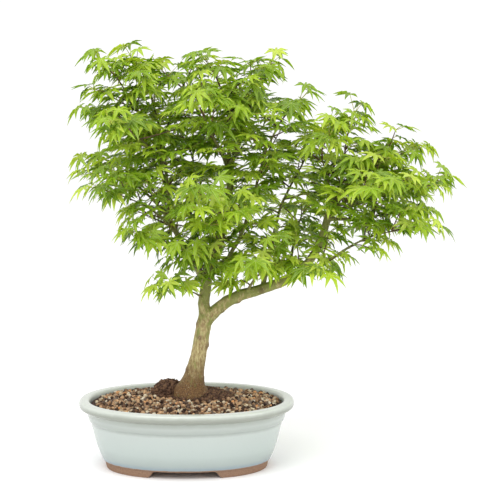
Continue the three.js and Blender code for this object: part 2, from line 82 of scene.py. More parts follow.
# %% Colour, node and material helpers
def linear(colour):
    """sRGB hex to linear RGBA: c / 12.92 near black, and ((c + 0.055) / 1.055) to the power 2.4 above."""
    c = np.array([int(colour[i:i + 2], 16) for i in (1, 3, 5)]) / 255
    c = np.where(c <= 0.04045, c / 12.92, ((c + 0.055) / 1.055) ** 2.4)
    return (*c.tolist(), 1.0)


def add(tree, kind, values=None, links=None, stops=None, **settings):
    """Adds one node: settings are its properties, values its sockets' numbers, links what feeds them, and
    stops the (place, colour) pairs of its colour ramp."""
    node = tree.nodes.new(kind)
    for name, value in settings.items():
        setattr(node, name, value)
    for socket, value in (values or {}).items():
        node.inputs[socket].default_value = value
    for socket, source in (links or {}).items():
        tree.links.new(source, node.inputs[socket])
    if stops:
        ramp = node.color_ramp.elements
        ramp.remove(ramp[1])
        ramp[0].position, ramp[0].color = stops[0]
        for place, colour in stops[1:]:
            ramp.new(place).color = colour
    return node


def blank_material(name):
    """A material with only its output; also gives the Object coordinates, which are the frame's metres."""
    material = bpy.data.materials.new(name)
    material.use_nodes = True
    tree = material.node_tree
    tree.nodes.clear()
    output = add(tree, "ShaderNodeOutputMaterial")
    place = add(tree, "ShaderNodeTexCoord").outputs["Object"]
    return material, tree, output.inputs["Surface"], place


print("middle grey #808080 is", round(linear("#808080")[0], 3), "in linear light")


# %% Mesh helpers
def mesh_from(name, points, faces, **attributes):
    """Points are an (n, 3) array and faces a list of arrays, each with one row of corners for a face.
    Every attribute is an array with one number for a point."""
    corners = np.concatenate([group.ravel() for group in faces]).astype(np.int32)
    sizes = np.concatenate([np.full(len(group), group.shape[1]) for group in faces])
    mesh = bpy.data.meshes.new(name)
    mesh.vertices.add(len(points))
    mesh.vertices.foreach_set("co", np.asarray(points, np.float32).ravel())
    mesh.loops.add(len(corners))
    mesh.loops.foreach_set("vertex_index", corners)
    mesh.polygons.add(len(sizes))
    mesh.polygons.foreach_set("loop_start", (np.cumsum(sizes) - sizes).astype(np.int32))
    mesh.polygons.foreach_set("use_smooth", np.ones(len(sizes), bool))
    mesh.update(calc_edges=True)
    label(mesh, **attributes)
    return mesh


def label(mesh, **attributes):
    """Gives each point of the mesh its number under every attribute's name."""
    for key, numbers in attributes.items():
        mesh.attributes.new(key, "FLOAT", "POINT").data.foreach_set("value", numbers.astype(np.float32))


def place_piece(name, mesh, material, slot, *nodes):
    """Makes an object of the mesh, gives it its finish, and ties it to the frame's one body."""
    piece = bpy.data.objects.new(name, mesh)
    bpy.context.collection.objects.link(piece)
    mesh.materials.clear()
    mesh.materials.append(material)
    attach(piece, "root")
    if nodes:
        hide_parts(*nodes)


def coordinates(mesh, kind="co"):
    """The mesh's points, or with the kind "normal" their normals, as an (n, 3) array."""
    numbers = np.empty(len(mesh.vertices) * 3, np.float32)
    mesh.vertices.foreach_get(kind, numbers)
    return numbers.reshape(-1, 3).astype(float)


def reshaped(mesh, points, **attributes):
    """Moves the mesh's points, gives them attributes and shades the mesh smooth."""
    mesh.vertices.foreach_set("co", points.astype(np.float32).ravel())
    label(mesh, **attributes)
    mesh.polygons.foreach_set("use_smooth", np.ones(len(mesh.polygons), bool))


def joined(node):
    """A node's points and triangles, with corners closer than a micron made one."""
    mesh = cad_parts[node].data
    corners = np.empty(len(mesh.loops), np.int32)
    mesh.loops.foreach_get("vertex_index", corners)
    keys = np.round(coordinates(mesh) * 1e6).astype(np.int64)
    unique, index = np.unique(keys, axis=0, return_inverse=True)
    return unique * 1e-6, index.ravel()[corners].reshape(-1, 3)


def baked(mesh, *modifiers):
    """The mesh after modifiers, each given as its kind and a dictionary of its settings."""
    holder = bpy.data.objects.new("holder", mesh)
    bpy.context.collection.objects.link(holder)
    for kind, settings in modifiers:
        modifier = holder.modifiers.new(kind, kind)
        for name, value in settings.items():
            setattr(modifier, name, value)
    graph = bpy.context.evaluated_depsgraph_get()
    result = bpy.data.meshes.new_from_object(holder.evaluated_get(graph))
    bpy.data.objects.remove(holder)
    return result


def tidied(mesh):
    """Merges doubles in place and turns every face outwards."""
    work = bmesh.new()
    work.from_mesh(mesh)
    bmesh.ops.remove_doubles(work, verts=work.verts, dist=1e-6)
    bmesh.ops.recalc_face_normals(work, faces=work.faces)
    work.to_mesh(mesh)
    work.free()
    return mesh


# %% Smooth noise as an array
def lumps(points, size, seed):
    """Noise from -1 to 1: random values on a lattice of the given size in metres, blended between a
    cell's eight corners with 3t^2 - 2t^3 along each axis."""
    cell = np.asarray(points) / size + 31.7 * seed
    base = np.floor(cell)
    t = cell - base
    t = t * t * (3 - 2 * t)
    total = np.zeros(len(cell))
    for corner in np.ndindex(2, 2, 2):
        wave = np.sin((base + corner) @ [127.1, 311.7, 74.7] + seed) * 43758.5453
        weight = np.prod(np.where(corner, t, 1 - t), axis=1)
        total += weight * (2 * (wave - np.floor(wave)) - 1)
    return total


print("noise at the pot's middle", np.round(lumps([pot_centre], 45 * MM, 1), 3).tolist())

# %% [markdown]
# ## Stage, light and camera
#
# A plant on a white table needs light from nearly everywhere, or the inside of the crown goes black. The
# sky is a white room. One large soft lamp above and to the left of the lens gives the leaves their
# bright upper sides, and a weaker one from the right keeps the far side open. The camera stands two
# metres away with a long lens, a little above the crown's middle, and looks slightly down.

# %% Floor and sky
FLOOR_HALF = 20.0
floor_corners = np.array([[-1, -1, 0], [1, -1, 0], [1, 1, 0], [-1, 1, 0]]) * FLOOR_HALF
floor_mesh = mesh_from("floor", floor_corners, [np.array([[0, 1, 2, 3]])])
floor = bpy.data.objects.new("floor", floor_mesh)
bpy.context.collection.objects.link(floor)
# Uncoated paper scatters light evenly and shows no gloss.
white_paper, tree, surface, _ = blank_material("White matt paper backdrop")
paper = add(tree, "ShaderNodeBsdfPrincipled", {"Base Color": linear("#fdfdfd"), "Roughness": 0.9})
tree.links.new(paper.outputs[0], surface)
floor_mesh.materials.append(white_paper)

sky = bpy.data.worlds.new("White room")
sky.use_nodes = True
sky.node_tree.nodes["Background"].inputs["Color"].default_value = (1.0, 1.0, 1.0, 1.0)
sky.node_tree.nodes["Background"].inputs["Strength"].default_value = 1.06
bpy.context.scene.world = sky
bpy.context.scene.view_settings.view_transform = "Standard"
print("floor is", 2 * FLOOR_HALF, "m wide")

# %% Lamps
# Each lamp is (offset from the tree's middle, side) in metres, and its power in watts.
LAMPS = {"key": ((-0.6, -1.6, 2.1), 1.9, 40.0), "fill": ((1.8, -1.0, 0.9), 1.2, 8.0)}
TREE_MIDDLE = Vector((pot_centre[0], pot_centre[1], cad_box[1][2] * 0.5))
for name, (offset, size, watts) in LAMPS.items():
    lamp = bpy.data.lights.new(name, "AREA")
    lamp.size, lamp.energy = size, watts
    holder = bpy.data.objects.new(name, lamp)
    holder.location = TREE_MIDDLE + Vector(offset)
    holder.rotation_euler = (-Vector(offset)).to_track_quat("-Z", "Y").to_euler()
    bpy.context.collection.objects.link(holder)
print("lamps", list(LAMPS))

# %% Camera
CAMERA_DISTANCE = 2.0
CAMERA_ASIDE = 0.09
CAMERA_HEIGHT = 0.526
CAMERA_PITCH = np.radians(6.201)
lens = bpy.data.cameras.new("camera")
lens.lens, lens.sensor_width = 102.9, 36.0
camera = bpy.data.objects.new("camera", lens)
camera.location = (pot_centre[0] + CAMERA_ASIDE, pot_centre[1] - CAMERA_DISTANCE, CAMERA_HEIGHT)
camera.rotation_euler = (np.pi / 2 - CAMERA_PITCH, 0.0, 0.0)
bpy.context.collection.objects.link(camera)
bpy.context.scene.camera = camera
print("camera stands at", [round(float(metres), 3) for metres in camera.location])

# %% [markdown]
# ## The pot
#
# A bonsai pot is pressed in a mould from stoneware clay, so its walls are even and its corners soft. It
# is oval, with a thick rolled lip, a raised band below it and a foot ring that is cut away at the front
# and back to let water out. A pot like this could be lathed and then stretched, but stretching would
# thin the walls along one side. Instead the outline is carried round an oval, and every point keeps its
# true distance from the wall beside it.

# %% Outline of the wall
# Each corner is (reach from the middle, height, rounding), all in millimetres, from under the floor
# round the foot, up the outside, over the lip and down the inside.
FOOT_TOP, FOOT_REACH = 10.0, 116.5
POT_OUTLINE = [
    (0, FOOT_TOP, 0), (99.5, FOOT_TOP, 1.5), (100.5, 0, 1.5), (114.5, 0, 1.5), (FOOT_REACH, FOOT_TOP, 0.8),
    (118.5, 11, 0.8), (121.5, 17, 3), (128, 33, 8), (136.2, 66.5, 2.5), (138.5, 68.3, 1.4),
    (139.4, 71, 2.5), (141.2, 78.5, 3), (142.8, 82, 2), (147, 84.5, 2), (151.3, 86.5, 2),
    (152.5, 89.5, 1.6), (152.5, 94, 1.6), (150, 97, 2.2), (140, 97, 1.6), (138, 95, 2), (134, 82, 8),
    (126, 56, 12), (121, 33, 8), (115, 22, 6), (108, 18, 4), (0, 18, 0)]
LONGEST_STEP = 5.0
CURVE_POINTS = 6


def rounded(outline):
    """Replaces each corner P by the curve (1-t)^2 A + 2t(1-t) P + t^2 C, where A and C lie on its two
    sides at the rounding's distance, or at 0.45 of a side that is short. It then splits what is longer
    than the longest step, and also gives each point's distance along the line."""
    line = []
    for i, (reach, height, rounding) in enumerate(outline):
        corner = np.array([reach, height], float)
        if rounding == 0:
            line.append(corner)
            continue
        sides = [np.array(outline[j][:2], float) - corner for j in (i - 1, i + 1)]
        before, after = (corner + s * min(rounding / np.hypot(*s), 0.45) for s in sides)
        for t in np.linspace(0, 1, CURVE_POINTS):
            line.append((1 - t) ** 2 * before + 2 * t * (1 - t) * corner + t * t * after)
    line = np.array(line)
    travelled = np.concatenate([[0], np.cumsum(np.hypot(*np.diff(line, axis=0).T))])
    places = [np.linspace(a, b, int(np.ceil((b - a) / LONGEST_STEP)) + 1)[:-1]
              for a, b in zip(travelled[:-1], travelled[1:]) if b - a > 1e-6]
    places = np.concatenate([*places, travelled[-1:]])
    return np.stack([np.interp(places, travelled, axis) for axis in line.T], axis=1), places


outline, travelled = rounded(POT_OUTLINE)
print("outline has", len(outline), "points over", round(travelled[-1]), "mm")

# %% Carry the outline round the oval
OVAL_POWER = 2.14
SHORTER_BY = 34.0
PLAN_STEPS = 320
NOTCH_FULL, NOTCH_END, NOTCH_HEIGHT = 41.0, 52.0, 9.5


def oval(angle, reach):
    """Point of the oval: x is the reach times cos to the power 2 / 2.14, keeping its sign, and y is the
    same with sin and a reach that is 34 mm shorter."""
    power = 2 / OVAL_POWER
    across = np.maximum(reach - SHORTER_BY, reach / 2)
    return (reach * np.sign(np.cos(angle)) * np.abs(np.cos(angle)) ** power,
            across * np.sign(np.sin(angle)) * np.abs(np.sin(angle)) ** power)


angle = np.linspace(0, 2 * np.pi, PLAN_STEPS, endpoint=False)[:, None]
x, y = oval(angle, outline[None, :, 0])
z = np.broadcast_to(outline[None, :, 1], x.shape)
# The cut between the feet lifts the ring's lower edge, in a smooth slope at each end of the cut.
slope = np.clip((NOTCH_END - np.abs(x)) / (NOTCH_END - NOTCH_FULL), 0, 1)
lift = NOTCH_HEIGHT * slope * slope * (3 - 2 * slope)
z = np.where(z < FOOT_TOP, lift + z * (FOOT_TOP - lift) / FOOT_TOP, z)
pot_points = np.stack([x, y, z], axis=-1) * MM + pot_centre
flat_points = pot_points.reshape(-1, 3)
# Hand pressing leaves the wall a few tenths of a millimetre uneven.
swell = 1 + 0.0022 * lumps(flat_points, 45 * MM, 1) + 0.0008 * lumps(flat_points, 14 * MM, 2)
flat_points[:, :2] = (flat_points[:, :2] - pot_centre[:2]) * swell[:, None] + pot_centre[:2]
print("pot skin spans", np.round(np.ptp(flat_points, axis=0) / MM, 1).tolist(), "mm")

# %% Close the pot's skin
# The glaze starts 11.5 mm up the outside, goes over the lip and ends 12 mm down the inside.
GLAZE_FROM, GLAZE_DOWN_INSIDE = 11.5, 12.0
outer_start = travelled[np.argmax((outline[:, 0] > FOOT_REACH + 0.5) & (outline[:, 1] >= GLAZE_FROM))]
lip_inside = travelled[outline[:, 1] > pot_high[2] / MM - 1][-1]
inside_glaze = np.minimum(travelled - outer_start, lip_inside + GLAZE_DOWN_INSIDE - travelled)
ring = np.arange(PLAN_STEPS)[:, None] * len(outline)
line = np.arange(len(outline) - 1)[None, :]
following = np.roll(ring, -1, axis=0)
quads = np.stack([ring + line, following + line, following + line + 1, ring + line + 1], axis=-1)
pot_mesh = tidied(mesh_from("pot_skin", flat_points, [quads.reshape(-1, 4)],
                            glaze=np.tile(inside_glaze, PLAN_STEPS)))
print("glaze covers", round(100 * float((inside_glaze > 0).mean())), "% of the outline's points")

# %% Drill the two drains
DRAIN_RADIUS, DRAIN_PLACES = 11.0, (-55.0, 55.0)
DRILL_SIDES, DRILL_FROM, DRILL_TO = 48, 5.0, 25.0
FAR_FROM_GLAZE = -30.0
turn = np.linspace(0, 2 * np.pi, DRILL_SIDES, endpoint=False)
drill_rings = [np.c_[middle + DRAIN_RADIUS * np.cos(turn), DRAIN_RADIUS * np.sin(turn),
                     np.full(DRILL_SIDES, level)]
               for middle in DRAIN_PLACES for level in (DRILL_FROM, DRILL_TO)]
drill_points = np.concatenate(drill_rings) * MM + pot_centre
side = np.arange(DRILL_SIDES)
after = np.roll(side, -1)
walls = np.stack([side, after, after + DRILL_SIDES, side + DRILL_SIDES], axis=1)
caps = np.stack([side[::-1], side + DRILL_SIDES])
second = 2 * DRILL_SIDES
drill_mesh = mesh_from("drill", drill_points, [np.concatenate([walls, walls + second]),
                                               np.concatenate([caps, caps + second])],
                       glaze=np.full(len(drill_points), FAR_FROM_GLAZE))
drill = bpy.data.objects.new("drill", drill_mesh)
bpy.context.collection.objects.link(drill)
pot_mesh = baked(pot_mesh, ("BOOLEAN", {"object": drill, "operation": "DIFFERENCE", "solver": "EXACT"}))
bpy.data.objects.remove(drill)
print("pot has", len(pot_mesh.polygons), "faces")

# %% [markdown]
# ### Stoneware glaze
#
# The glaze is a pale grey-green feldspar glaze, poured on and fired until it runs. It pools blue-grey where
# it stops above the foot. Its colour also carries painted shade by height: darker in the step under the
# band, under the lip and towards the bottom, and lighter on the lip's top as painted light. The foot and the
# inside
# are bare clay: buff brown and rough, because the pot would stick to the kiln shelf if its foot were glazed.
# An attribute on the mesh holds how far inside the glazed area each point lies, so the shader can draw the
# uneven line where the glaze ended.

# %% Where the glaze ends
glazed, tree, surface, place = blank_material("Celadon glazed stoneware")
depth = add(tree, "ShaderNodeAttribute", attribute_name="glaze").outputs["Fac"]
# The glaze's edge wanders by about a millimetre over some 12 mm.
wander = add(tree, "ShaderNodeTexNoise", {"Scale": 1 / (12 * MM), "Detail": 3.0}, {"Vector": place})
here = add(tree, "ShaderNodeMath", {1: -2.5}, {0: wander.outputs["Fac"], 2: depth},
           operation="MULTIPLY_ADD").outputs[0]
mask = add(tree, "ShaderNodeMapRange", {"From Min": -1.0, "From Max": 0.2}, {"Value": here},
           interpolation_type="SMOOTHSTEP").outputs[0]
# Pooled glaze along its lower edge thins out over the first 8 mm.
pooled = add(tree, "ShaderNodeMapRange", {"From Min": 0.0, "From Max": 8.0, "To Min": 0.80, "To Max": 0.0},
             {"Value": here}, interpolation_type="SMOOTHSTEP").outputs[0]
print("edge of the glaze takes", len(tree.nodes), "shader nodes")

# %% Colour of the glaze
# A Mix node of colours takes its inputs by number: A is 6 and B is 7, and its colour comes out at 2.
MIX_A, MIX_B, MIX_COLOUR = 6, 7, 2
height = add(tree, "ShaderNodeSeparateXYZ", links={0: place}).outputs["Z"]
cloud = add(tree, "ShaderNodeTexNoise", {"Scale": 1 / (26 * MM), "Detail": 4.0, "Roughness": 0.6},
            {"Vector": place})
waved = add(tree, "ShaderNodeMath", {1: 4 * MM}, {0: cloud.outputs["Fac"], 2: height},
            operation="MULTIPLY_ADD")
# Height from the table to the lip picks painted shade: darker in the step at 69 mm, under the lip, on
# the lip's outer face and towards the bottom, with painted light making the lip's top lighter.
share = add(tree, "ShaderNodeMapRange", {"From Min": 2 * MM, "From Max": 102 * MM},
            {"Value": waved.outputs[0]})
painted_shade_bands = add(tree, "ShaderNodeValToRGB", links={"Fac": share.outputs[0]}, stops=[
    (0.12, linear("#9aa6a4")), (0.20, linear("#a3adaa")), (0.34, linear("#b0bab6")),
    (0.62, linear("#b7bfbb")), (0.66, linear("#a2a9a4")), (0.71, linear("#a9b0ab")),
    (0.75, linear("#b2b9b4")), (0.81, linear("#a4aaa3")), (0.84, linear("#8c8f85")),
    (0.90, linear("#94988f")), (0.925, linear("#a8ada4")), (0.95, linear("#bfc4bc")),
    (0.98, linear("#c2c6be"))])
pool = add(tree, "ShaderNodeMix", {MIX_B: linear("#8f9fa9")}, {0: pooled, MIX_A: painted_shade_bands.outputs[0]},
           data_type="RGBA").outputs[MIX_COLOUR]
# Iron specks up to a millimetre wide, one in a few square centimetres.
speck = add(tree, "ShaderNodeTexVoronoi", {"Scale": 1 / (6 * MM)}, {"Vector": place})
dot = add(tree, "ShaderNodeMapRange", {"From Min": 0.05, "From Max": 0.09, "To Min": 0.35, "To Max": 0.0},
          {"Value": speck.outputs["Distance"]})
glaze_colour = add(tree, "ShaderNodeMix", {MIX_B: linear("#7d7866")}, {0: dot.outputs[0], MIX_A: pool},
                   data_type="RGBA").outputs[MIX_COLOUR]
print("glaze has", len(painted_shade_bands.color_ramp.elements), "bands of colour from foot to lip")

# %% Bare clay, gloss and relief
# Grog, the crushed fired clay in stoneware, speckles the bare foot at about a millimetre.
grog = add(tree, "ShaderNodeTexNoise", {"Scale": 1 / (1.2 * MM), "Detail": 5.0, "Roughness": 0.7},
           {"Vector": place})
clay_colour = add(tree, "ShaderNodeValToRGB", links={"Fac": grog.outputs["Fac"]}, stops=[
    (0.30, linear("#745541")), (0.50, linear("#8d6f59")), (0.70, linear("#a3866e"))])
colour = add(tree, "ShaderNodeMix", links={0: mask, MIX_A: clay_colour.outputs[0], MIX_B: glaze_colour},
             data_type="RGBA").outputs[MIX_COLOUR]
rough = add(tree, "ShaderNodeMapRange", {"To Min": 0.85, "To Max": 0.22}, {"Value": mask})
# Grog stands a quarter of a millimetre out of the clay; the glaze has only slow ripples.
grain = add(tree, "ShaderNodeMath", {0: 1.0}, {1: mask}, operation="SUBTRACT")
grain_bump = add(tree, "ShaderNodeBump", {"Distance": 0.25 * MM},
                 {"Strength": grain.outputs[0], "Height": grog.outputs["Fac"]})
ripple = add(tree, "ShaderNodeBump", {"Strength": 0.35, "Distance": 0.6 * MM},
             {"Height": cloud.outputs["Fac"], "Normal": grain_bump.outputs[0]})
glass = add(tree, "ShaderNodeBsdfPrincipled", {"IOR": 1.5},
            {"Base Color": colour, "Roughness": rough.outputs[0], "Normal": ripple.outputs[0]})
tree.links.new(glass.outputs[0], surface)
place_piece("oval_pot", pot_mesh, glazed, "glazed_stoneware", "pot")
print("glazed stoneware has", len(tree.nodes), "shader nodes")

# %% [markdown]
# ### What lies under the soil
#
# Each drain hole is covered by a square of plastic mesh, held down by a bent wire whose legs pass through
# the hole. Both are simple shapes and already right in the measured model, so they only need a finish.

# %% Screens and clips
# Extruded polyethylene is dyed black through, with a dull sheen and grey scuffs.
netting, tree, surface, place = blank_material("Black polyethylene netting")
scuff = add(tree, "ShaderNodeTexNoise", {"Scale": 1 / (2 * MM), "Detail": 3.0}, {"Vector": place})
tone = add(tree, "ShaderNodeValToRGB", links={"Fac": scuff.outputs["Fac"]},
           stops=[(0.35, linear("#17181a")), (0.70, linear("#34363a"))])
bump = add(tree, "ShaderNodeBump", {"Distance": 0.1 * MM, "Strength": 0.4},
           {"Height": scuff.outputs["Fac"]})
plastic = add(tree, "ShaderNodeBsdfPrincipled", {"Roughness": 0.5, "IOR": 1.51},
              {"Base Color": tone.outputs[0], "Normal": bump.outputs[0]})
tree.links.new(plastic.outputs[0], surface)

# Drawn and then annealed aluminium is a soft, satin silver, cloudy from handling.
wire, tree, surface, place = blank_material("Annealed aluminium wire")
drawn = add(tree, "ShaderNodeTexNoise", {"Scale": 1 / (0.8 * MM), "Detail": 2.0}, {"Vector": place})
tone = add(tree, "ShaderNodeValToRGB", links={"Fac": drawn.outputs["Fac"]},
           stops=[(0.3, linear("#9a9a98")), (0.7, linear("#c9c8c4"))])
metal = add(tree, "ShaderNodeBsdfPrincipled", {"Roughness": 0.38, "Metallic": 1.0},
            {"Base Color": tone.outputs[0]})
tree.links.new(metal.outputs[0], surface)
for side_name in ("left", "right"):
    for node_name, finish in (("drainage_screen", netting), ("screen_clip", wire)):
        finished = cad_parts[f"{node_name}_{side_name}"].data.materials
        finished.clear()
        finished.append(finish)
        print(f"{node_name}_{side_name}", "is finished as", finish.name)

# %% [markdown]
# ## Grit and soil
#
# The pot is filled with a gritty mix: baked clay crumbs, pale pumice and dark lava, each 3 to 8 mm
# across. What shows is only its top layer. A bump map would look like sandpaper from the side, so the
# top layer is made of real grains. A grain is one small shape of 24 faces, turned, stretched and dented
# at random, and dropped onto the measured soil surface by a ray from above. The mass below stays one
# solid. To the left of the stem an older lump of dark soil stands out of the grit.

# %% Surfaces that grains can lie on
def ray_tree(node):
    """A search tree over a node's joined triangles."""
    points, triangles = joined(node)
    return BVHTree.FromPolygons(points.tolist(), triangles.tolist())


GROUND = {name: ray_tree(name) for name in ("gravel_mix", "root_ball", "trunk_and_limbs", "pot")}
# Rays start above the grit and below the lowest limb, in metres.
RAY_START = 0.13
print("search trees for", list(GROUND))


def landing(places):
    """Drops a ray at each (x, y) and gives the height it lands at, and the name of what it hits first."""
    heights, names = [], []
    for x, y in places:
        hits = [(hit[0].z, name) for name, search in GROUND.items()
                if (hit := search.ray_cast((x, y, RAY_START), (0, 0, -1)))[0]]
        height, name = max(hits, default=(0.0, "nothing"))
        heights.append(height)
        names.append(name)
    return np.array(heights), np.array(names)


# %% A grain, and many of them
def grain_shape():
    """A cube with each side cut in four, pushed most of the way onto a ball: 26 points and 24 faces."""
    lattice = np.array([p for p in np.ndindex(3, 3, 3) if p != (1, 1, 1)]) - 1.0
    lookup = {tuple(p): i for i, p in enumerate(lattice.astype(int).tolist())}
    faces = []
    for axis, sign, u, v in np.ndindex(3, 2, 2, 2):
        corners = []
        for du, dv in ((0, 0), (1, 0), (1, 1), (0, 1)):
            p = [0, 0, 0]
            p[axis], p[(axis + 1) % 3], p[(axis + 2) % 3] = 2 * sign - 1, u + du - 1, v + dv - 1
            corners.append(lookup[tuple(p)])
        faces.append(corners if sign else corners[::-1])
    return lattice / np.linalg.norm(lattice, axis=1, keepdims=True) ** 0.75, np.array(faces)


def turned(random, count):
    """Random rotations from random unit quaternions (w, x, y, z), as count 3 by 3 matrices."""
    w, x, y, z = (q := random.normal(size=(4, count))) / np.linalg.norm(q, axis=0)
    rows = [1 - 2 * (y * y + z * z), 2 * (x * y - z * w), 2 * (x * z + y * w),
            2 * (x * y + z * w), 1 - 2 * (x * x + z * z), 2 * (y * z - x * w),
            2 * (x * z - y * w), 2 * (y * z + x * w), 1 - 2 * (x * x + y * y)]
    return np.stack(rows, axis=-1).reshape(count, 3, 3)


def grains(random, centres, radius):
    """Each grain is the shape times three half sizes, from 0.72 to 1.25 of its radius, times a dent from
    0.80 to 1.12 for each corner, turned and moved."""
    count, corners = len(centres), len(GRAIN_POINTS)
    half_sizes = radius[:, None] * random.uniform(0.72, 1.25, (count, 3))
    dents = random.uniform(0.80, 1.12, (count, corners, 1))
    points = np.einsum("nij,nkj->nki", turned(random, count), GRAIN_POINTS * half_sizes[:, None] * dents)
    points += centres[:, None]
    quads = (GRAIN_FACES[None] + np.arange(count)[:, None, None] * corners).reshape(-1, 4)
    tint = np.repeat(random.uniform(0, 1, count), corners)
    return points.reshape(-1, 3), quads, tint


GRAIN_POINTS, GRAIN_FACES = grain_shape()
print("one grain has", len(GRAIN_POINTS), "points and", len(GRAIN_FACES), "faces")

# %% Scatter the grit over the oval
INNER_REACH = 133.0


def scatter(random, pitch, reach):
    """A hexagonal grid of the given pitch, each point moved by up to 0.4 of it, kept inside the oval
    |x / reach|^2.14 + |y / (reach - 34)|^2.14 < 1. Millimetres from the pot's middle."""
    rows = np.arange(-reach, reach, pitch * np.sqrt(3) / 2)
    columns = np.arange(-reach, reach, pitch)
    x = columns[None, :] + pitch / 2 * (np.arange(len(rows)) % 2)[:, None]
    y = np.broadcast_to(rows[:, None], x.shape)
    spots = np.stack([x, y], axis=-1).reshape(-1, 2)
    spots = spots + random.uniform(-0.4, 0.4, spots.shape) * pitch
    inside = (np.abs(spots) / [reach, reach - SHORTER_BY]) ** OVAL_POWER
    return spots[inside.sum(axis=1) < 1]


# Each layer is (pitch, least and largest radius) in millimetres, and how far a grain is sunk, in radii:
# coarse grains lie a little in the bed, and finer ones on and between them.
GRIT_LAYERS = ((6.1, 2.5, 4.3, 0.3), (6.6, 1.4, 2.9, -0.9))
random = np.random.default_rng(11)
layers = []
for pitch, least, most, sink in GRIT_LAYERS:
    spots = scatter(random, pitch, INNER_REACH - most) * MM + pot_centre[:2]
    heights, on = landing(spots)
    radius = random.uniform(least, most, len(spots)) * MM
    layers.append((np.c_[spots, heights - sink * radius], radius, on))
centres, radius, on = (np.concatenate(part) for part in zip(*layers))
# The share of each kind in the mix.
KINDS = {"baked_clay_grains": 0.50, "pumice_grains": 0.20, "lava_grains": 0.30}
kind = random.choice(len(KINDS), len(centres), p=list(KINDS.values()))
print("grit:", int((on == "gravel_mix").sum()), "grains on the bed and", int((on == "root_ball").sum()),
      "places on the dark soil")

# %% [markdown]
# ### Finishes of the grit
#
# Baked clay is orange brown to tan and chalky. Pumice is cream, full of pits. Lava is grey to near
# black, with a rough broken face. All are matt. A number kept for every grain picks its place on a
# colour ramp, so neighbours differ as they do in a real mix.

# %% Grit materials
def grit(name, stops, pit):
    """A matt mineral: the grain's own number picks the colour, fine noise soils it, and pits of the given
    width in metres roughen it."""
    material, tree, surface, place = blank_material(name)
    own = add(tree, "ShaderNodeAttribute", attribute_name="tint").outputs["Fac"]
    ramp = add(tree, "ShaderNodeValToRGB", links={"Fac": own}, stops=stops)
    dust = add(tree, "ShaderNodeTexNoise", {"Scale": 1 / (1.5 * MM), "Detail": 4.0, "Roughness": 0.65},
               {"Vector": place})
    shade = add(tree, "ShaderNodeMapRange",
                {"From Min": 0.3, "From Max": 0.7, "To Min": 0.62, "To Max": 1.26},
                {"Value": dust.outputs["Fac"]})
    tone = add(tree, "ShaderNodeHueSaturation", links={"Color": ramp.outputs[0], "Value": shade.outputs[0]})
    pits = add(tree, "ShaderNodeTexVoronoi", {"Scale": 1 / pit}, {"Vector": place})
    bump = add(tree, "ShaderNodeBump", {"Strength": 0.7, "Distance": 0.35 * MM},
               {"Height": pits.outputs["Distance"]})
    matt = add(tree, "ShaderNodeBsdfPrincipled", {"Roughness": 0.92, "IOR": 1.45},
               {"Base Color": tone.outputs[0], "Normal": bump.outputs[0]})
    tree.links.new(matt.outputs[0], surface)
    return material


GRIT = {
    "baked_clay_grains": grit("Baked clay crumb", [
        (0.0, linear("#553a27")), (0.3, linear("#86664a")), (0.7, linear("#b39270")),
        (0.92, linear("#cba27a")), (1.0, linear("#d0935c"))], 0.9 * MM),
    "pumice_grains": grit("Pumice", [
        (0.0, linear("#9d8a70")), (0.6, linear("#c8b698")), (1.0, linear("#e0d6c0"))], 0.6 * MM),
    "lava_grains": grit("Lava grit", [
        (0.0, linear("#22130b")), (0.5, linear("#452f20")), (1.0, linear("#77675a"))], 0.8 * MM)}
for index, name in enumerate(KINDS):
    chosen = (on == "gravel_mix") & (kind == index)
    points, quads, tint = grains(random, centres[chosen], radius[chosen])
    place_piece(name, mesh_from(name, points, [quads], tint=tint), GRIT[name], "gravel")
    print(name, int(chosen.sum()), "grains", len(quads), "faces")

# %% Soil material and lump
# Loam with rotted bark in it is dark, matt and crumbly. It also fills the bed below the grains.
loam = grit("Dark potting loam", [
    (0.0, linear("#3c281b")), (0.5, linear("#573d2c")), (1.0, linear("#75573f"))], 1.0 * MM)
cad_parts["gravel_mix"].data.materials.clear()
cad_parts["gravel_mix"].data.materials.append(loam)

ball_points, ball_triangles = joined("root_ball")
ball = baked(mesh_from("ball", ball_points, [ball_triangles]),
             ("REMESH", {"mode": "VOXEL", "voxel_size": 2.2 * MM}),
             ("SMOOTH", {"factor": 0.5, "iterations": 4}))
spots = coordinates(ball)
# Clods about 8 mm wide and crumbs of 3 mm push the surface out by up to one millimetre and in by two.
push = 0.9 * MM * lumps(spots, 8 * MM, 5) + 0.6 * MM * lumps(spots, 3 * MM, 6) - 0.4 * MM
reshaped(ball, spots + coordinates(ball, "normal") * push[:, None], tint=0.4 + 0.3 * lumps(spots, 5 * MM, 7))
place_piece("root_ball_soil", ball, loam, "root_ball_soil", "root_ball")
print("soil lump has", len(ball.polygons), "faces")

# %% Loose soil round the stem
# It thins out over an oval round the stem's foot, 64 mm to each side and 40 mm to the front and back.
STEM_FOOT, SOIL_SPREAD = np.array([4, 6]) * MM, np.array([64, 40]) * MM
CRUMB_PITCH, CRUMB_LEAST, CRUMB_MOST = 2.3, 0.7, 2.6
THICKEST_SOIL = 0.75
random = np.random.default_rng(23)
crumb_spots = scatter(random, CRUMB_PITCH, INNER_REACH - 4) * MM + pot_centre[:2]
from_stem = np.hypot(*((crumb_spots - pot_centre[:2] - STEM_FOOT) / SOIL_SPREAD).T)
crumb_spots, from_stem = crumb_spots[from_stem < 1], from_stem[from_stem < 1]
crumb_heights, crumb_on = landing(crumb_spots)
thinned = random.uniform(size=len(crumb_on)) < THICKEST_SOIL * (1 - from_stem ** 2)
keep = (crumb_on == "root_ball") | ((crumb_on == "gravel_mix") & thinned)
radius = random.uniform(CRUMB_LEAST, CRUMB_MOST, int(keep.sum())) * MM
crumb_centres = np.c_[crumb_spots, crumb_heights][keep] + np.outer(radius, [0, 0, 0.4])
points, quads, tint = grains(random, crumb_centres, radius)
place_piece("soil_crumbs", mesh_from("soil_crumbs", points, [quads], tint=tint), loam, "root_ball_soil")
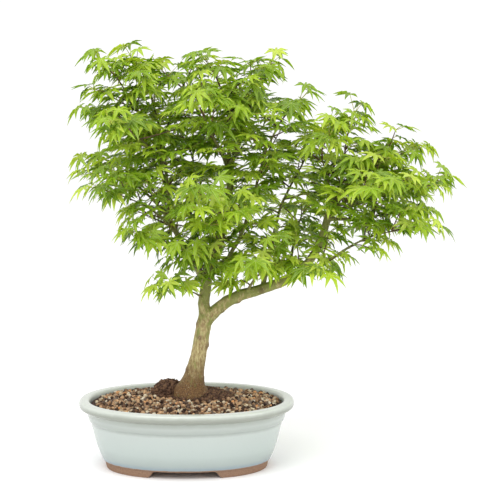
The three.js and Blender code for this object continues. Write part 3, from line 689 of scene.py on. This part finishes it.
print("loose soil has", len(crumb_centres), "crumbs")

# %% [markdown]
# ## Stem and limbs
#
# Maple bark stays smooth for decades: buff grey on the stem, with faint upright streaks and a green bloom
# of algae, olive on the limbs and dark brown on the thinnest twigs. The measured limbs are plain
# many-sided tubes with sharp crotches. Subdividing them would keep the creases. Remeshing them on a
# fine lattice and letting the result settle gives the flowing collars that real branches have. How sharply
# the surface curves then tells how thick the wood is, and the colour can follow its age.

# %% Skin of the wood
LATTICE = 1.15 * MM
wood_points, wood_triangles = joined("trunk_and_limbs")
wood = baked(mesh_from("wood", wood_points, [wood_triangles]),
             ("REMESH", {"mode": "VOXEL", "voxel_size": LATTICE}),
             ("SMOOTH", {"factor": 0.5, "iterations": 3}))
skin = coordinates(wood)
outward = coordinates(wood, "normal")
edges = np.empty(len(wood.edges) * 2, np.int32)
wood.edges.foreach_get("vertices", edges)
edges = edges.reshape(-1, 2)
ends = np.concatenate([edges, edges[:, ::-1]])


def neighbour_mean(values):
    """For each point, the mean of a number over the points that share an edge with it."""
    count = np.bincount(ends[:, 0], minlength=len(values))
    return np.bincount(ends[:, 0], weights=values[ends[:, 1]], minlength=len(values)) / count


# On a round limb of radius r the four neighbours' mean lies a^2 / 4r below the point, with lattice step
# a, so this gives 1 / r. It counts as young from 7 mm in radius down to 1.8 mm.
EVENING_ROUNDS = 12
sunk = np.stack([skin[:, i] - neighbour_mean(skin[:, i]) for i in range(3)], axis=1)
bend = 4 * (sunk * outward).sum(axis=1) / LATTICE ** 2
for _ in range(EVENING_ROUNDS):
    bend = neighbour_mean(bend)
YOUNG_FROM, YOUNG_TO = 1 / (7 * MM), 1 / (1.8 * MM)
young = np.clip((bend - YOUNG_FROM) / (YOUNG_TO - YOUNG_FROM), 0, 1)
print("wood has", len(wood.polygons), "faces; share of young wood", round(float(young.mean()), 2))

# %% Bark relief, knots and scars
# The stem swells and narrows over 14 mm. Fine ribs about 3 mm apart run up it, drawn out twice. All of
# the wood is a little uneven over 2.6 mm, and gets back the tenth of a millimetre that smoothing took.
old = 1 - young
relief = 0.55 * MM * lumps(skin, 14 * MM, 3) * old
relief += 0.17 * MM * lumps(skin * [1, 1, 0.5], 3.2 * MM, 4) * old
relief += 0.14 * MM * lumps(skin, 2.6 * MM, 8) + 0.12 * MM


def bell(middle, width):
    """For each point of the wood, e to the power -(distance / width)^2."""
    return np.exp(-(np.linalg.norm(skin - middle, axis=1) / (width * MM)) ** 2)


# Each swelling or knot is (x, y, z from the pot's middle, width, how far it stands out), in millimetres.
# Roots swell the foot at two places. A knot sits on the nearest bark: five are on the stem, where it once
# had branches, and four on the long limb.
ROOT_SWELLINGS = [(-10, -4, 110, 13.0, 3.2), (24, -6, 104, 10.0, 2.0)]
KNOTS = [(33, -5, 173, 5.0, 3.0), (-1, -5, 140, 5.0, 1.6), (25, -5, 128, 4.0, 1.4),
         (13, -5, 205, 4.0, 1.8), (20, -8, 186, 3.5, 1.2), (107, -12, 254, 4.5, 2.2),
         (76, -9, 232, 4.0, 1.6), (128, -6, 262, 4.0, 2.0), (52, -8, 222, 3.5, 1.4)]
for *spot, width, proud in ROOT_SWELLINGS:
    relief += proud * MM * bell(pot_centre + np.array(spot) * MM, width)
scar = np.zeros(len(skin))
for *spot, width, proud in KNOTS:
    target = pot_centre + np.array(spot) * MM
    near = bell(skin[np.argmin(np.linalg.norm(skin - target, axis=1))], width)
    relief += proud * MM * near
    scar = np.maximum(scar, near)
skin += outward * relief[:, None]
reshaped(wood, skin, young=young, scar=scar)
print("relief runs from", round(relief.min() / MM, 1), "to", round(relief.max() / MM, 1), "mm")

# %% Colour of old bark
# Bark of a grown tree is dry and matt, with a fine upright grain.
bark, tree, surface, place = blank_material("Smooth maple bark")
upright = add(tree, "ShaderNodeMapping", {"Scale": (1.0, 1.0, 0.36)}, {"Vector": place})
streaks = add(tree, "ShaderNodeTexNoise", {"Scale": 1 / (2.4 * MM), "Detail": 6.0, "Roughness": 0.65},
              {"Vector": upright.outputs[0]})
old_tone = add(tree, "ShaderNodeValToRGB", links={"Fac": streaks.outputs["Fac"]}, stops=[
    (0.30, linear("#75603f")), (0.44, linear("#9b875c")), (0.56, linear("#b5a775")),
    (0.72, linear("#cfc496"))])
# Splashed soil browns the foot. It fades out unevenly between two and eight centimetres above the grit.
level = add(tree, "ShaderNodeSeparateXYZ", links={0: place}).outputs["Z"]
uneven = add(tree, "ShaderNodeMath", {1: 22 * MM}, {0: streaks.outputs["Fac"], 2: level},
             operation="MULTIPLY_ADD").outputs[0]
muddy = add(tree, "ShaderNodeTexNoise", {"Scale": 1 / (1.3 * MM), "Detail": 5.0, "Roughness": 0.7},
            {"Vector": place})
mud_tone = add(tree, "ShaderNodeValToRGB", links={"Fac": muddy.outputs["Fac"]}, stops=[
    (0.34, linear("#35230f")), (0.50, linear("#614423")), (0.66, linear("#8c683b"))])
splash = add(tree, "ShaderNodeMapRange",
             {"From Min": 124 * MM, "From Max": 182 * MM, "To Min": 1.0, "To Max": 0.0},
             {"Value": uneven}, interpolation_type="SMOOTHSTEP")
footed = add(tree, "ShaderNodeMix", data_type="RGBA", links={
    0: splash.outputs[0], MIX_A: old_tone.outputs[0], MIX_B: mud_tone.outputs[0]}).outputs[MIX_COLOUR]
# Algae bloom green in flecks 8 mm wide and longer than that, thicker higher up.
patches = add(tree, "ShaderNodeTexNoise", {"Scale": 1 / (8 * MM), "Detail": 6.0, "Roughness": 0.68},
              {"Vector": upright.outputs[0]})
higher = add(tree, "ShaderNodeMapRange",
             {"From Min": 140 * MM, "From Max": 260 * MM, "To Min": -0.12, "To Max": 0.14},
             {"Value": level}).outputs[0]
patched = add(tree, "ShaderNodeMath", links={0: patches.outputs["Fac"], 1: higher}, operation="ADD")
bloom = add(tree, "ShaderNodeMapRange", {"From Min": 0.44, "From Max": 0.62, "To Max": 0.8},
            {"Value": patched.outputs[0]}, interpolation_type="SMOOTHSTEP")
green = add(tree, "ShaderNodeMix", {MIX_B: linear("#77803a")}, {0: bloom.outputs[0], MIX_A: footed},
            data_type="RGBA").outputs[MIX_COLOUR]
print("old bark takes", len(tree.nodes), "shader nodes")

# %% Young wood, scars, pores and relief
mottle = add(tree, "ShaderNodeTexNoise", {"Scale": 1 / (3 * MM), "Detail": 4.0}, {"Vector": place})
young_tone = add(tree, "ShaderNodeValToRGB", links={"Fac": mottle.outputs["Fac"]}, stops=[
    (0.30, linear("#403420")), (0.5, linear("#61602f")), (0.7, linear("#84824a"))])
age = add(tree, "ShaderNodeAttribute", attribute_name="young").outputs["Fac"]
aged = add(tree, "ShaderNodeMix", links={0: age, MIX_A: green, MIX_B: young_tone.outputs[0]},
           data_type="RGBA").outputs[MIX_COLOUR]
scarred = add(tree, "ShaderNodeAttribute", attribute_name="scar").outputs["Fac"]
scar_share = add(tree, "ShaderNodeMath", {1: 0.7}, {0: scarred}, operation="MULTIPLY")
wood_colour = add(tree, "ShaderNodeMix", {MIX_B: linear("#5d4630")},
                  {0: scar_share.outputs[0], MIX_A: aged}, data_type="RGBA").outputs[MIX_COLOUR]
# Lenticels, the pale breathing pores, are about a millimetre wide and stand out a little.
pores = add(tree, "ShaderNodeTexVoronoi", {"Scale": 1 / (3.5 * MM)}, {"Vector": place})
pore = add(tree, "ShaderNodeMapRange", {"From Min": 0.10, "From Max": 0.22, "To Min": 0.35, "To Max": 0.0},
           {"Value": pores.outputs["Distance"]})
pored = add(tree, "ShaderNodeMix", {MIX_B: linear("#cdbf9c")}, {0: pore.outputs[0], MIX_A: wood_colour},
            data_type="RGBA").outputs[MIX_COLOUR]
ribbed = add(tree, "ShaderNodeBump", {"Strength": 0.8, "Distance": 0.6 * MM},
             {"Height": streaks.outputs["Fac"]})
bump = add(tree, "ShaderNodeBump", {"Strength": 0.5, "Distance": 0.3 * MM},
           {"Height": pore.outputs[0], "Normal": ribbed.outputs[0]})
wood_surface = add(tree, "ShaderNodeBsdfPrincipled", {"Roughness": 0.72, "IOR": 1.45},
                   {"Base Color": pored, "Normal": bump.outputs[0]})
tree.links.new(wood_surface.outputs[0], surface)
place_piece("maple_stem_and_limbs", wood, bark, "maple_bark", "trunk_and_limbs")
print("bark has", len(tree.nodes), "shader nodes")

# %% [markdown]
# ## Leaves
#
# A Japanese maple leaf is a hand with seven narrow fingers. It is held level on a thin stalk, its
# fingers arch down, and each is folded a little along its middle rib. The measured model has plain
# leaves, so their places can be read back from it: each plain leaf has two middle points, above and
# below, which share nearly all their neighbours. From these come the leaf's centre, its upper side, the
# way it points and where its stalk starts. A leaf could be a flat card with its outline cut out by
# transparency. A real outline casts a real shadow and keeps its shape in any program, so every leaf here
# is a thin closed shell.

# %% Read the plain leaves back
PLAIN_THICKNESS, THICKNESS_SLACK = 1.6 * MM, 0.03 * MM
LEAST_SHARED = 7
CUT_CLEAR = 4 * MM


def unit(vectors):
    """Each row divided by its length."""
    return vectors / np.linalg.norm(vectors, axis=-1, keepdims=True)


def plain_leaves(node):
    """Rows of (centre, up, forward, foot of the stalk) and the middle finger's length for each leaf of a
    shoot, and the shoot's points that belong to no leaf. Two points are one leaf's middles if they are
    1.6 mm apart and share seven neighbours or more. The two neighbours nearest to them lie beside the
    stalk, so forward is away from those. A leaf whose finger or stalk is hidden is passed over."""
    points, triangles = joined(node)
    linked = np.zeros((len(points), len(points)), int)
    for i, j in ((0, 1), (1, 2), (2, 0)):
        linked[triangles[:, i], triangles[:, j]] = linked[triangles[:, j], triangles[:, i]] = 1
    apart = np.linalg.norm(points[:, None] - points[None], axis=2)
    opposite = (np.abs(apart - PLAIN_THICKNESS) < THICKNESS_SLACK) & (linked @ linked >= LEAST_SHARED)
    pairs = np.argwhere(np.triu(opposite))
    rows, lengths, used = [], [], np.zeros(len(points), bool)
    for a, b in pairs:
        rim = np.flatnonzero(linked[a] & linked[b])
        centre = (points[a] + points[b]) / 2
        spokes = points[rim] - centre
        reach = np.linalg.norm(spokes, axis=1)
        up = unit(points[a] - points[b])
        up = -up if spokes.mean(axis=0) @ up > 0 else up
        back = spokes[np.argsort(reach)[:2]].mean(axis=0)
        back = unit(back - up * (back @ up))
        ahead = (spokes @ -back) / reach > 0.9
        touching = np.flatnonzero(linked[a] | linked[b])
        arms = points[touching] - centre
        sure = (unit(arms) @ back > 0.5) | ~np.isin(touching, rim)
        behind = (np.linalg.norm(arms, axis=1) > CUT_CLEAR) & sure
        if not ahead.any() or not behind.any():
            continue
        rows.append([centre, up, -back, points[touching][behind].mean(axis=0)])
        lengths.append(reach[ahead].max())
        used[[a, b]] = True
        used[rim] = True
    return np.array(rows), np.array(lengths), points[~used]


shoot_leaves = {name: plain_leaves(name) for name in shoots}
plain_count = sum(len(rows) for rows, _, _ in shoot_leaves.values())
print("read back", plain_count, "leaves; middle fingers",
      round(min(s.min() for _, s, _ in shoot_leaves.values()) / MM), "to",
      round(max(s.max() for _, s, _ in shoot_leaves.values()) / MM), "mm")

# %% A finger-leaf as one small shell
# Each finger is (bearing from the middle one in degrees, length, half width), in middle-finger lengths.
FINGERS = [(-124, 0.38, 0.055), (-80, 0.72, 0.094), (-39, 0.94, 0.114), (0, 1.0, 0.120),
           (39, 0.94, 0.114), (80, 0.72, 0.094), (124, 0.38, 0.055)]
# Between two fingers the blade is cut back to this far from the centre; the first cut is at the stalk.
CUTS = [0.03, 0.15, 0.20, 0.24, 0.24, 0.20, 0.15]


def leaf_shape():
    """Points as rows of (finger, bearing, along, across, side), where side is 1 above, -1 below and 0 on
    the rim, and faces with a place on the finger for every corner: u runs from the leaf's middle to the
    finger's tip, and v is 0 and 1 at the edges and 0.5 on the rib."""
    rows, fours, threes = [], [], []

    def point(*row):
        """Adds a row and gives its number."""
        rows.append(row)
        return len(rows) - 1

    middles = [point(3, 0, 0, 0, side) for side in (1, -1)]
    bearings = [-180] + [(a[0] + b[0]) / 2 for a, b in zip(FINGERS, FINGERS[1:])]
    cuts = [point(k, bearing, reach, 0, 0) for k, (bearing, reach) in enumerate(zip(bearings, CUTS))]
    for k, (bearing, length, width) in enumerate(FINGERS):
        right, left = cuts[k], cuts[(k + 1) % len(FINGERS)]
        stations, wide = ((0.52,), (1.0,)) if length < 0.5 else ((0.46, 0.73), (1.0, 0.55))
        tip = point(k, bearing, length, 0, 0)
        rims = [[point(k, bearing, s * length, hand * w * width, 0) for s, w in zip(stations, wide)]
                for hand in (-1, 1)]
        ribs = [[point(k, bearing, s * length, 0, side) for s in stations] for side in (1, -1)]
        for middle, rib, turn in ((middles[0], ribs[0], 1), (middles[1], ribs[1], -1)):
            first = stations[0]
            found = [[(middle, 0, 0.5), (right, 0.24, 0), (rims[0][0], first, 0), (rib[0], first, 0.5)],
                     [(middle, 0, 0.5), (rib[0], first, 0.5), (rims[1][0], first, 1), (left, 0.24, 1)]]
            if len(stations) == 2:
                a, b = stations
                found += [[(rims[0][0], a, 0), (rims[0][1], b, 0), (rib[1], b, 0.5), (rib[0], a, 0.5)],
                          [(rib[0], a, 0.5), (rib[1], b, 0.5), (rims[1][1], b, 1), (rims[1][0], a, 1)]]
            last = stations[-1]
            found += [[(rims[0][-1], last, 0), (tip, 1, 0.5), (rib[-1], last, 0.5)],
                      [(rib[-1], last, 0.5), (tip, 1, 0.5), (rims[1][-1], last, 1)]]
            for face in found:
                (fours if len(face) == 4 else threes).append(face[::turn])
    return np.array(rows, float), np.array(fours, float), np.array(threes, float)


LEAF_ROWS, LEAF_FOURS, LEAF_THREES = leaf_shape()
print("one leaf has", len(LEAF_ROWS), "points and", len(LEAF_FOURS) + len(LEAF_THREES), "faces")


# %% Many leaves at once
# A blade is a third of a millimetre thick, about twice the real one, so that its two faces stay apart.
BLADE_HALF = 0.16 * MM


def blades(random, centre, up, forward, length):
    """Each point lies at its finger's bearing, turned by some 5 degrees, at its share of the finger's
    length, which varies by 6 in 100, and drops by droop times the square of that share. The finger's
    edges are raised by the fold, so that its rib lies in a groove."""
    count, finger = len(centre), LEAF_ROWS[:, 0].astype(int)
    spread = random.normal(0, 5.0, (count, len(FINGERS)))
    stretch = random.normal(1, 0.06, (count, len(FINGERS)))
    bearing = np.radians(LEAF_ROWS[:, 1] + spread[:, finger] * (LEAF_ROWS[:, 2] > 0))
    along = LEAF_ROWS[:, 2] * stretch[:, finger]
    across, side = LEAF_ROWS[:, 3], LEAF_ROWS[:, 4]
    droop = random.uniform(0.05, 0.42, (count, 1))
    droop = droop + random.uniform(-0.12, 0.12, (count, len(FINGERS)))[:, finger]
    fold = random.uniform(0.45, 1.0, (count, 1))
    sideways = np.cross(up, forward)
    c, s = np.cos(bearing), np.sin(bearing)
    ahead = along * c - across * s
    aside = along * s + across * c
    above = -droop * along ** 2 + fold * np.abs(across)
    points = centre[:, None] + length[:, None, None] * (
        ahead[..., None] * forward[:, None] + aside[..., None] * sideways[:, None]
        + above[..., None] * up[:, None])
    return points + side[:, None] * BLADE_HALF * up[:, None]


def leaf_faces(count):
    """The faces of the one leaf repeated for each, and the (u, v) of all their corners."""
    step = np.arange(count)[:, None, None] * len(LEAF_ROWS)
    groups, places = [], []
    for group in (LEAF_FOURS, LEAF_THREES):
        groups.append((group[..., 0].astype(int)[None] + step).reshape(-1, group.shape[1]))
        places.append(np.tile(group[..., 1:].reshape(-1, 2), (count, 1)))
    return groups, np.concatenate(places)


# %% Stalks and twigs
# Stalks that start within 4 mm of each other share a joint, and a twig starts 1 mm inside its limb.
SAME_JOINT, BURIED = 4 * MM, 1.0 * MM


def tubes(paths, radii, sides):
    """A round section carried along each path: at every station the ring is radius times
    (cos a A + sin a B), where A and B are square to the path. Both ends are closed."""
    count, stations = paths.shape[:2]
    heading = unit(np.gradient(paths, axis=1))
    steep = np.abs(heading.mean(axis=1)[:, 2:]) > 0.8
    spare = np.where(steep, [1.0, 0.0, 0.0], [0.0, 0.0, 1.0])[:, None]
    a = unit(np.cross(heading, spare))
    b = np.cross(heading, a)
    turn = np.linspace(0, 2 * np.pi, sides, endpoint=False)[:, None]
    rings = paths[:, :, None] + np.asarray(radii)[..., None, None] * (
        np.cos(turn) * a[:, :, None] + np.sin(turn) * b[:, :, None])
    index = np.arange(count * stations * sides).reshape(count, stations, sides)
    walls = np.stack([index[:, :-1], np.roll(index, -1, 2)[:, :-1], np.roll(index, -1, 2)[:, 1:],
                      index[:, 1:]], axis=-1).reshape(-1, 4)
    caps = np.concatenate([index[:, 0, ::-1], index[:, -1]])
    return rings.reshape(-1, 3), walls, caps


def arched(start, end, rise, stations):
    """A stalk's path: the straight way plus 4t(1-t) times the rise, straight up."""
    t = np.linspace(0, 1, stations)[None, :, None]
    return start[:, None] * (1 - t) + end[:, None] * t + 4 * t * (1 - t) * rise[:, None, None] * [0, 0, 1]


def twig_path(rows, loose, stations):
    """From a millimetre inside the limb to the leaf joints in turn. The joints are the stalks' feet,
    gathered where they are less than 4 mm apart, and the base is the limb's point that is nearest to any
    of the shoot's loose points."""
    nearest = [GROUND["trunk_and_limbs"].find_nearest(Vector(p)) for p in loose]
    closest = min(range(len(loose)), key=lambda i: nearest[i][3])
    base = np.array(nearest[closest][0])
    feet = rows[:, 3]
    feet = feet[np.argsort(np.linalg.norm(feet - base, axis=1))]
    reach = np.linalg.norm(feet - base, axis=1)
    groups = np.split(feet, np.flatnonzero(np.diff(reach) > SAME_JOINT) + 1)
    line = np.array([base, *(group.mean(axis=0) for group in groups)])
    line[0] -= unit(line[1] - line[0]) * BURIED
    gone = np.concatenate([[0], np.cumsum(np.linalg.norm(np.diff(line, axis=0), axis=1))])
    even = np.linspace(0, gone[-1], stations)
    return np.stack([np.interp(even, gone, line[:, i]) for i in range(3)], axis=1)


# %% [markdown]
# ### Leaf, stalk and twig finishes
#
# A leaf is thin enough for light to pass, so its material mixes a waxy upper surface with a translucent
# part that glows yellow green when lit from behind. The rib and side veins follow the finger, so they are
# drawn from the place on the finger that every corner carries. Stalks are green, flushed with red.

# %% Veins of the leaf
SIDE_VEINS = 11
leaf, tree, surface, place = blank_material("Japanese maple leaf")
finger_place = add(tree, "ShaderNodeUVMap", uv_map="finger").outputs[0]
split = add(tree, "ShaderNodeSeparateXYZ", links={0: finger_place})
from_rib = add(tree, "ShaderNodeMath", {1: 0.5}, {0: split.outputs["Y"]}, operation="SUBTRACT")
from_rib = add(tree, "ShaderNodeMath", links={0: from_rib.outputs[0]}, operation="ABSOLUTE")
rib = add(tree, "ShaderNodeMapRange", {"From Min": 0.02, "From Max": 0.11, "To Min": 1.0, "To Max": 0.0},
          {"Value": from_rib.outputs[0]}, interpolation_type="SMOOTHSTEP").outputs[0]
# Eleven pairs of side veins on a finger, each leaning forwards towards the edge.
lean = add(tree, "ShaderNodeMath", {1: -0.22}, {0: from_rib.outputs[0], 2: split.outputs["X"]},
           operation="MULTIPLY_ADD")
wave = add(tree, "ShaderNodeMath", {1: SIDE_VEINS * 2 * np.pi}, {0: lean.outputs[0]}, operation="MULTIPLY")
wave = add(tree, "ShaderNodeMath", links={0: wave.outputs[0]}, operation="SINE")
vein = add(tree, "ShaderNodeMapRange", {"From Min": 0.75, "From Max": 1.0},
           {"Value": wave.outputs[0]}).outputs[0]
heights = add(tree, "ShaderNodeMath", {1: 0.35}, {0: vein, 2: rib}, operation="MULTIPLY_ADD")
bump = add(tree, "ShaderNodeBump", {"Strength": 0.7, "Distance": 0.3 * MM}, {"Height": heights.outputs[0]},
           invert=True)
print("a finger has", SIDE_VEINS, "pairs of side veins")

# %% Colour of the leaf
# Every leaf has its own green, and cells of noise 9 mm wide vary it.
own = add(tree, "ShaderNodeAttribute", attribute_name="tint").outputs["Fac"]
cells = add(tree, "ShaderNodeTexNoise", {"Scale": 1 / (9 * MM), "Detail": 3.0}, {"Vector": place})
own_here = add(tree, "ShaderNodeMath", {1: 0.30}, {0: cells.outputs["Fac"], 2: own},
               operation="MULTIPLY_ADD")
green = add(tree, "ShaderNodeValToRGB", links={"Fac": own_here.outputs[0]}, stops=[
    (0.10, linear("#789b22")), (0.38, linear("#a0bf2e")), (0.72, linear("#bed342")),
    (1.0, linear("#dae574"))])
rib_share = add(tree, "ShaderNodeMath", {1: 0.6}, {0: rib}, operation="MULTIPLY")
veined = add(tree, "ShaderNodeMix", {MIX_B: linear("#cfe08a")},
             {0: rib_share.outputs[0], MIX_A: green.outputs[0]}, data_type="RGBA").outputs[MIX_COLOUR]
# The last tenth of some fingers is scorched brown.
scorch = add(tree, "ShaderNodeMapRange", {"From Min": 0.90, "From Max": 1.0, "To Max": 0.55},
             {"Value": split.outputs["X"]})
leaf_colour = add(tree, "ShaderNodeMix", {MIX_B: linear("#9a7a35")}, {0: scorch.outputs[0], MIX_A: veined},
                  data_type="RGBA").outputs[MIX_COLOUR]
# A wax skin gives a soft gloss, and the flesh below lets nearly half of the light through.
wax = add(tree, "ShaderNodeBsdfPrincipled", {"Roughness": 0.30, "IOR": 1.48},
          {"Base Color": leaf_colour, "Normal": bump.outputs[0]})
glow_colour = add(tree, "ShaderNodeHueSaturation", {"Hue": 0.49, "Saturation": 1.05, "Value": 1.4},
                  {"Color": leaf_colour})
glow = add(tree, "ShaderNodeBsdfTranslucent", links={"Color": glow_colour.outputs[0],
                                                   "Normal": bump.outputs[0]})
mixed = add(tree, "ShaderNodeMixShader", {0: 0.45}, {1: wax.outputs[0], 2: glow.outputs[0]})
tree.links.new(mixed.outputs[0], surface)
print("leaf has", len(tree.nodes), "shader nodes")

# %% Stalk and twig material
# Young stalks are smooth and waxy, and older twigs are dull brown.
stalk, tree, surface, place = blank_material("Young maple twig and stalk")
woody = add(tree, "ShaderNodeAttribute", attribute_name="woody").outputs["Fac"]
blotch = add(tree, "ShaderNodeTexNoise", {"Scale": 1 / (4 * MM), "Detail": 3.0}, {"Vector": place})
fresh = add(tree, "ShaderNodeValToRGB", links={"Fac": blotch.outputs["Fac"]}, stops=[
    (0.35, linear("#a3b84a")), (0.58, linear("#a59c48")), (0.78, linear("#a0603c"))])
hard = add(tree, "ShaderNodeValToRGB", links={"Fac": blotch.outputs["Fac"]}, stops=[
    (0.35, linear("#3d2a1c")), (0.70, linear("#6b4f33"))])
tone = add(tree, "ShaderNodeMix", links={0: woody, MIX_A: fresh.outputs[0], MIX_B: hard.outputs[0]},
           data_type="RGBA").outputs[MIX_COLOUR]
bump = add(tree, "ShaderNodeBump", {"Strength": 0.4, "Distance": 0.1 * MM},
           {"Height": blotch.outputs["Fac"]})
skin_surface = add(tree, "ShaderNodeBsdfPrincipled", {"Roughness": 0.5, "IOR": 1.45},
                   {"Base Color": tone, "Normal": bump.outputs[0]})
tree.links.new(skin_surface.outputs[0], surface)
print("stalk has", len(tree.nodes), "shader nodes")

# %% [markdown]
# ### Dress every shoot
#
# The measured shoots hold four or five plain leaves each, which is enough for their weight and outline. A
# real crown in summer is several times as full. Each leaf read back is kept, and beside it two more are
# grown from the same joint, turned to either hand, tilted and a little smaller. Then side twigs are
# added on the bare lengths of the limbs. Each tries several directions and takes the one whose end
# is furthest from the leaves that are there already, which is how a real twig finds its light.

# %% Leaves beside the measured ones
box_low, box_high = (np.array(corner) for corner in cad_box)


def spin(vectors, turn):
    """Turns each vector about the upright axis by its angle."""
    c, s = np.cos(turn), np.sin(turn)
    x, y, z = vectors.T
    return np.stack([c * x - s * y, s * x + c * y, z], axis=1)


def square_to(vectors, up):
    """Each vector without its part along up, made one long."""
    return unit(vectors - up * (vectors * up).sum(axis=1, keepdims=True))


LONGEST_FINGER, OUTWARD_TILT = 30 * MM, 0.45
# Leaves tilt away from a point in the middle of the crown, 330 mm above the table.
CROWN_HEIGHT = 0.33
crown_middle = (box_low + box_high) / 2 * [1, 1, 0] + [0, 0, CROWN_HEIGHT]
random = np.random.default_rng(52)
foliage = {}
for name in shoots:
    rows, lengths, loose = shoot_leaves[name]
    centre, up, forward, foot = (rows[:, i] for i in range(4))
    lengths = np.minimum(lengths, LONGEST_FINGER)
    foliage[name] = [(centre, up, forward, foot, lengths)]
    for hand in (-1, 1):
        turn = hand * np.radians(random.uniform(30, 90, len(rows)))
        arm = spin(centre - foot, turn) * random.uniform(0.7, 1.2, len(rows))[:, None]
        arm[:, 2] += random.uniform(-4, 13, len(rows)) * MM
        facing = OUTWARD_TILT * unit((foot - crown_middle) * [1, 1, 0.5])
        new_up = unit(spin(up, turn) + facing + random.normal(0, 0.2, (len(rows), 3)))
        foliage[name].append((foot + arm, new_up, square_to(spin(forward, turn), new_up), foot,
                              lengths * random.uniform(0.72, 1.0, len(rows))))
print("beside the", plain_count, "plain leaves grow", 2 * plain_count, "more")

# %% Places for side twigs
# They spring from wood that is young enough, at least 14 mm apart and 255 mm above the table.
YOUNG_ENOUGH, TWIG_SPACING, LOWEST_TWIG = 0.10, 14 * MM, 0.255
MOST_CANDIDATES = 6000
candidates = np.flatnonzero((young > YOUNG_ENOUGH) & (skin[:, 2] > LOWEST_TWIG))
candidates = random.permutation(candidates)[:MOST_CANDIDATES]
anchors = []
for i in candidates:
    if not anchors or np.linalg.norm(skin[anchors] - skin[i], axis=1).min() > TWIG_SPACING:
        anchors.append(i)
print(len(anchors), "places for side twigs")

# %% Side twigs that look for room
# Each twig carries six leaves, each at (share of the way to the tip, bearing from it in degrees).
LEAF_PLACES = np.array([(0.45, 75), (0.55, -75), (0.75, 65), (1.0, 60), (1.0, -60), (1.0, 0)])
TRIES, LEAST_ROOM, ROOT_SUNK = 12, 11 * MM, 1.2 * MM
# A tip stays this far inside the measured box, to leave room for its leaves.
INSET_LOW, INSET_HIGH = np.array([26, 26, 26]) * MM, np.array([26, 26, 8]) * MM
leaf_middles = np.concatenate([part[0] for parts in foliage.values() for part in parts])
shoot_middles = np.array([shoot_leaves[name][0][:, 0].mean(axis=0) for name in shoots])
side_twigs = {name: [] for name in shoots}
for i in anchors:
    root, away = skin[i], unit(skin[i] - crown_middle)
    tries = 0.5 * outward[i] + 0.45 * away + [0, 0, 0.25] + random.normal(0, 0.6, (TRIES, 3))
    tries = unit(np.c_[tries[:, :2], np.abs(tries[:, 2])])
    tips = root + tries * random.uniform(22, 56, (TRIES, 1)) * MM
    room = np.linalg.norm(tips[:, None] - leaf_middles[None], axis=2).min(axis=1)
    room[((tips < box_low + INSET_LOW) | (tips > box_high - INSET_HIGH)).any(axis=1)] = -1
    best = int(np.argmax(room))
    if room[best] < LEAST_ROOM:
        continue
    tip = tips[best]
    heading = unit((tip - root) * [1, 1, 0.2])
    share, bearing = LEAF_PLACES.T
    bearing = np.radians(bearing + random.normal(0, 14, len(share)))
    foot = root + (tip - root) * share[:, None]
    aim = spin(np.tile(heading, (len(share), 1)), bearing)
    stalk_length = random.uniform(9, 19, len(share)) * MM
    centre = foot + aim * stalk_length[:, None]
    centre[:, 2] += random.uniform(-2, 6, len(share)) * MM
    up = unit(np.array([0, 0, 1]) + 0.6 * away + random.normal(0, 0.22, (len(share), 3)))
    forward = square_to(spin(np.tile(heading, (len(share), 1)), 0.8 * bearing), up)
    home = shoots[int(np.argmin(np.linalg.norm(shoot_middles - root, axis=1)))]
    foliage[home].append((centre, up, forward, foot, random.uniform(20, 31, len(share)) * MM))
    side_twigs[home].append((root - outward[i] * ROOT_SUNK, tip))
    leaf_middles = np.concatenate([leaf_middles, centre])
print(sum(map(len, side_twigs.values())), "side twigs grown")

# %% Make the meshes
ABOVE_TOP = 12 * MM
TWIG_STATIONS, TWIG_RADII, TWIG_SIDES = 10, (1.2, 0.6), 6
STALK_STATIONS, STALK_RADII, STALK_SIDES = 5, (0.55, 0.38), 4
CREASE = np.radians(75)


def kept_inside(points, centre):
    """Moves each leaf by what its own points pass the box, and its centre by the same. Upwards they may
    pass it by 12 mm, as the plain leaves of the model lie flatter than real ones."""
    top = box_high + [0, 0, ABOVE_TOP]
    over = np.maximum(points.max(axis=1) - top, 0) - np.maximum(box_low - points.min(axis=1), 0)
    return points - over[:, None], centre - over


leaf_total = 0
for name in shoots:
    centre, up, forward, foot, lengths = (np.concatenate(part) for part in zip(*foliage[name]))
    points, centre = kept_inside(blades(random, centre, up, forward, lengths), centre)
    groups, places = leaf_faces(len(points))
    tint = np.repeat(random.uniform(0, 0.75, len(points)), len(LEAF_ROWS))
    leaf_mesh = mesh_from(f"{name}_leaves", points.reshape(-1, 3), groups, tint=tint)
    leaf_mesh.uv_layers.new(name="finger").data.foreach_set("uv", places.astype(np.float32).ravel())
    leaf_mesh.set_sharp_from_angle(angle=CREASE)
    place_piece(f"{name}_leaves", leaf_mesh, leaf, "maple_leaf", name)
    stalk_points, stalk_walls, stalk_caps = tubes(
        arched(foot, centre, random.uniform(-1.5, 2.5, len(foot)) * MM, STALK_STATIONS),
        np.linspace(*STALK_RADII, STALK_STATIONS) * MM, STALK_SIDES)
    paths = [twig_path(shoot_leaves[name][0], shoot_leaves[name][2], TWIG_STATIONS)]
    if side_twigs[name]:
        starts, tips = (np.array(part) for part in zip(*side_twigs[name]))
        paths += list(arched(starts, tips, random.uniform(-3, 5, len(starts)) * MM, TWIG_STATIONS))
    twig_points, twig_walls, twig_caps = tubes(
        np.array(paths), np.linspace(*TWIG_RADII, TWIG_STATIONS) * MM, TWIG_SIDES)
    count = len(stalk_points)
    stems = mesh_from(f"{name}_stems", np.concatenate([stalk_points, twig_points]),
                      [np.concatenate([stalk_walls, twig_walls + count]), stalk_caps, twig_caps + count],
                      woody=np.r_[np.zeros(count), np.ones(len(twig_points))])
    place_piece(f"{name}_stems", stems, stalk, "maple_bark", name)
    leaf_total += len(points)
print(leaf_total, "leaves on", len(shoots), "shoots")
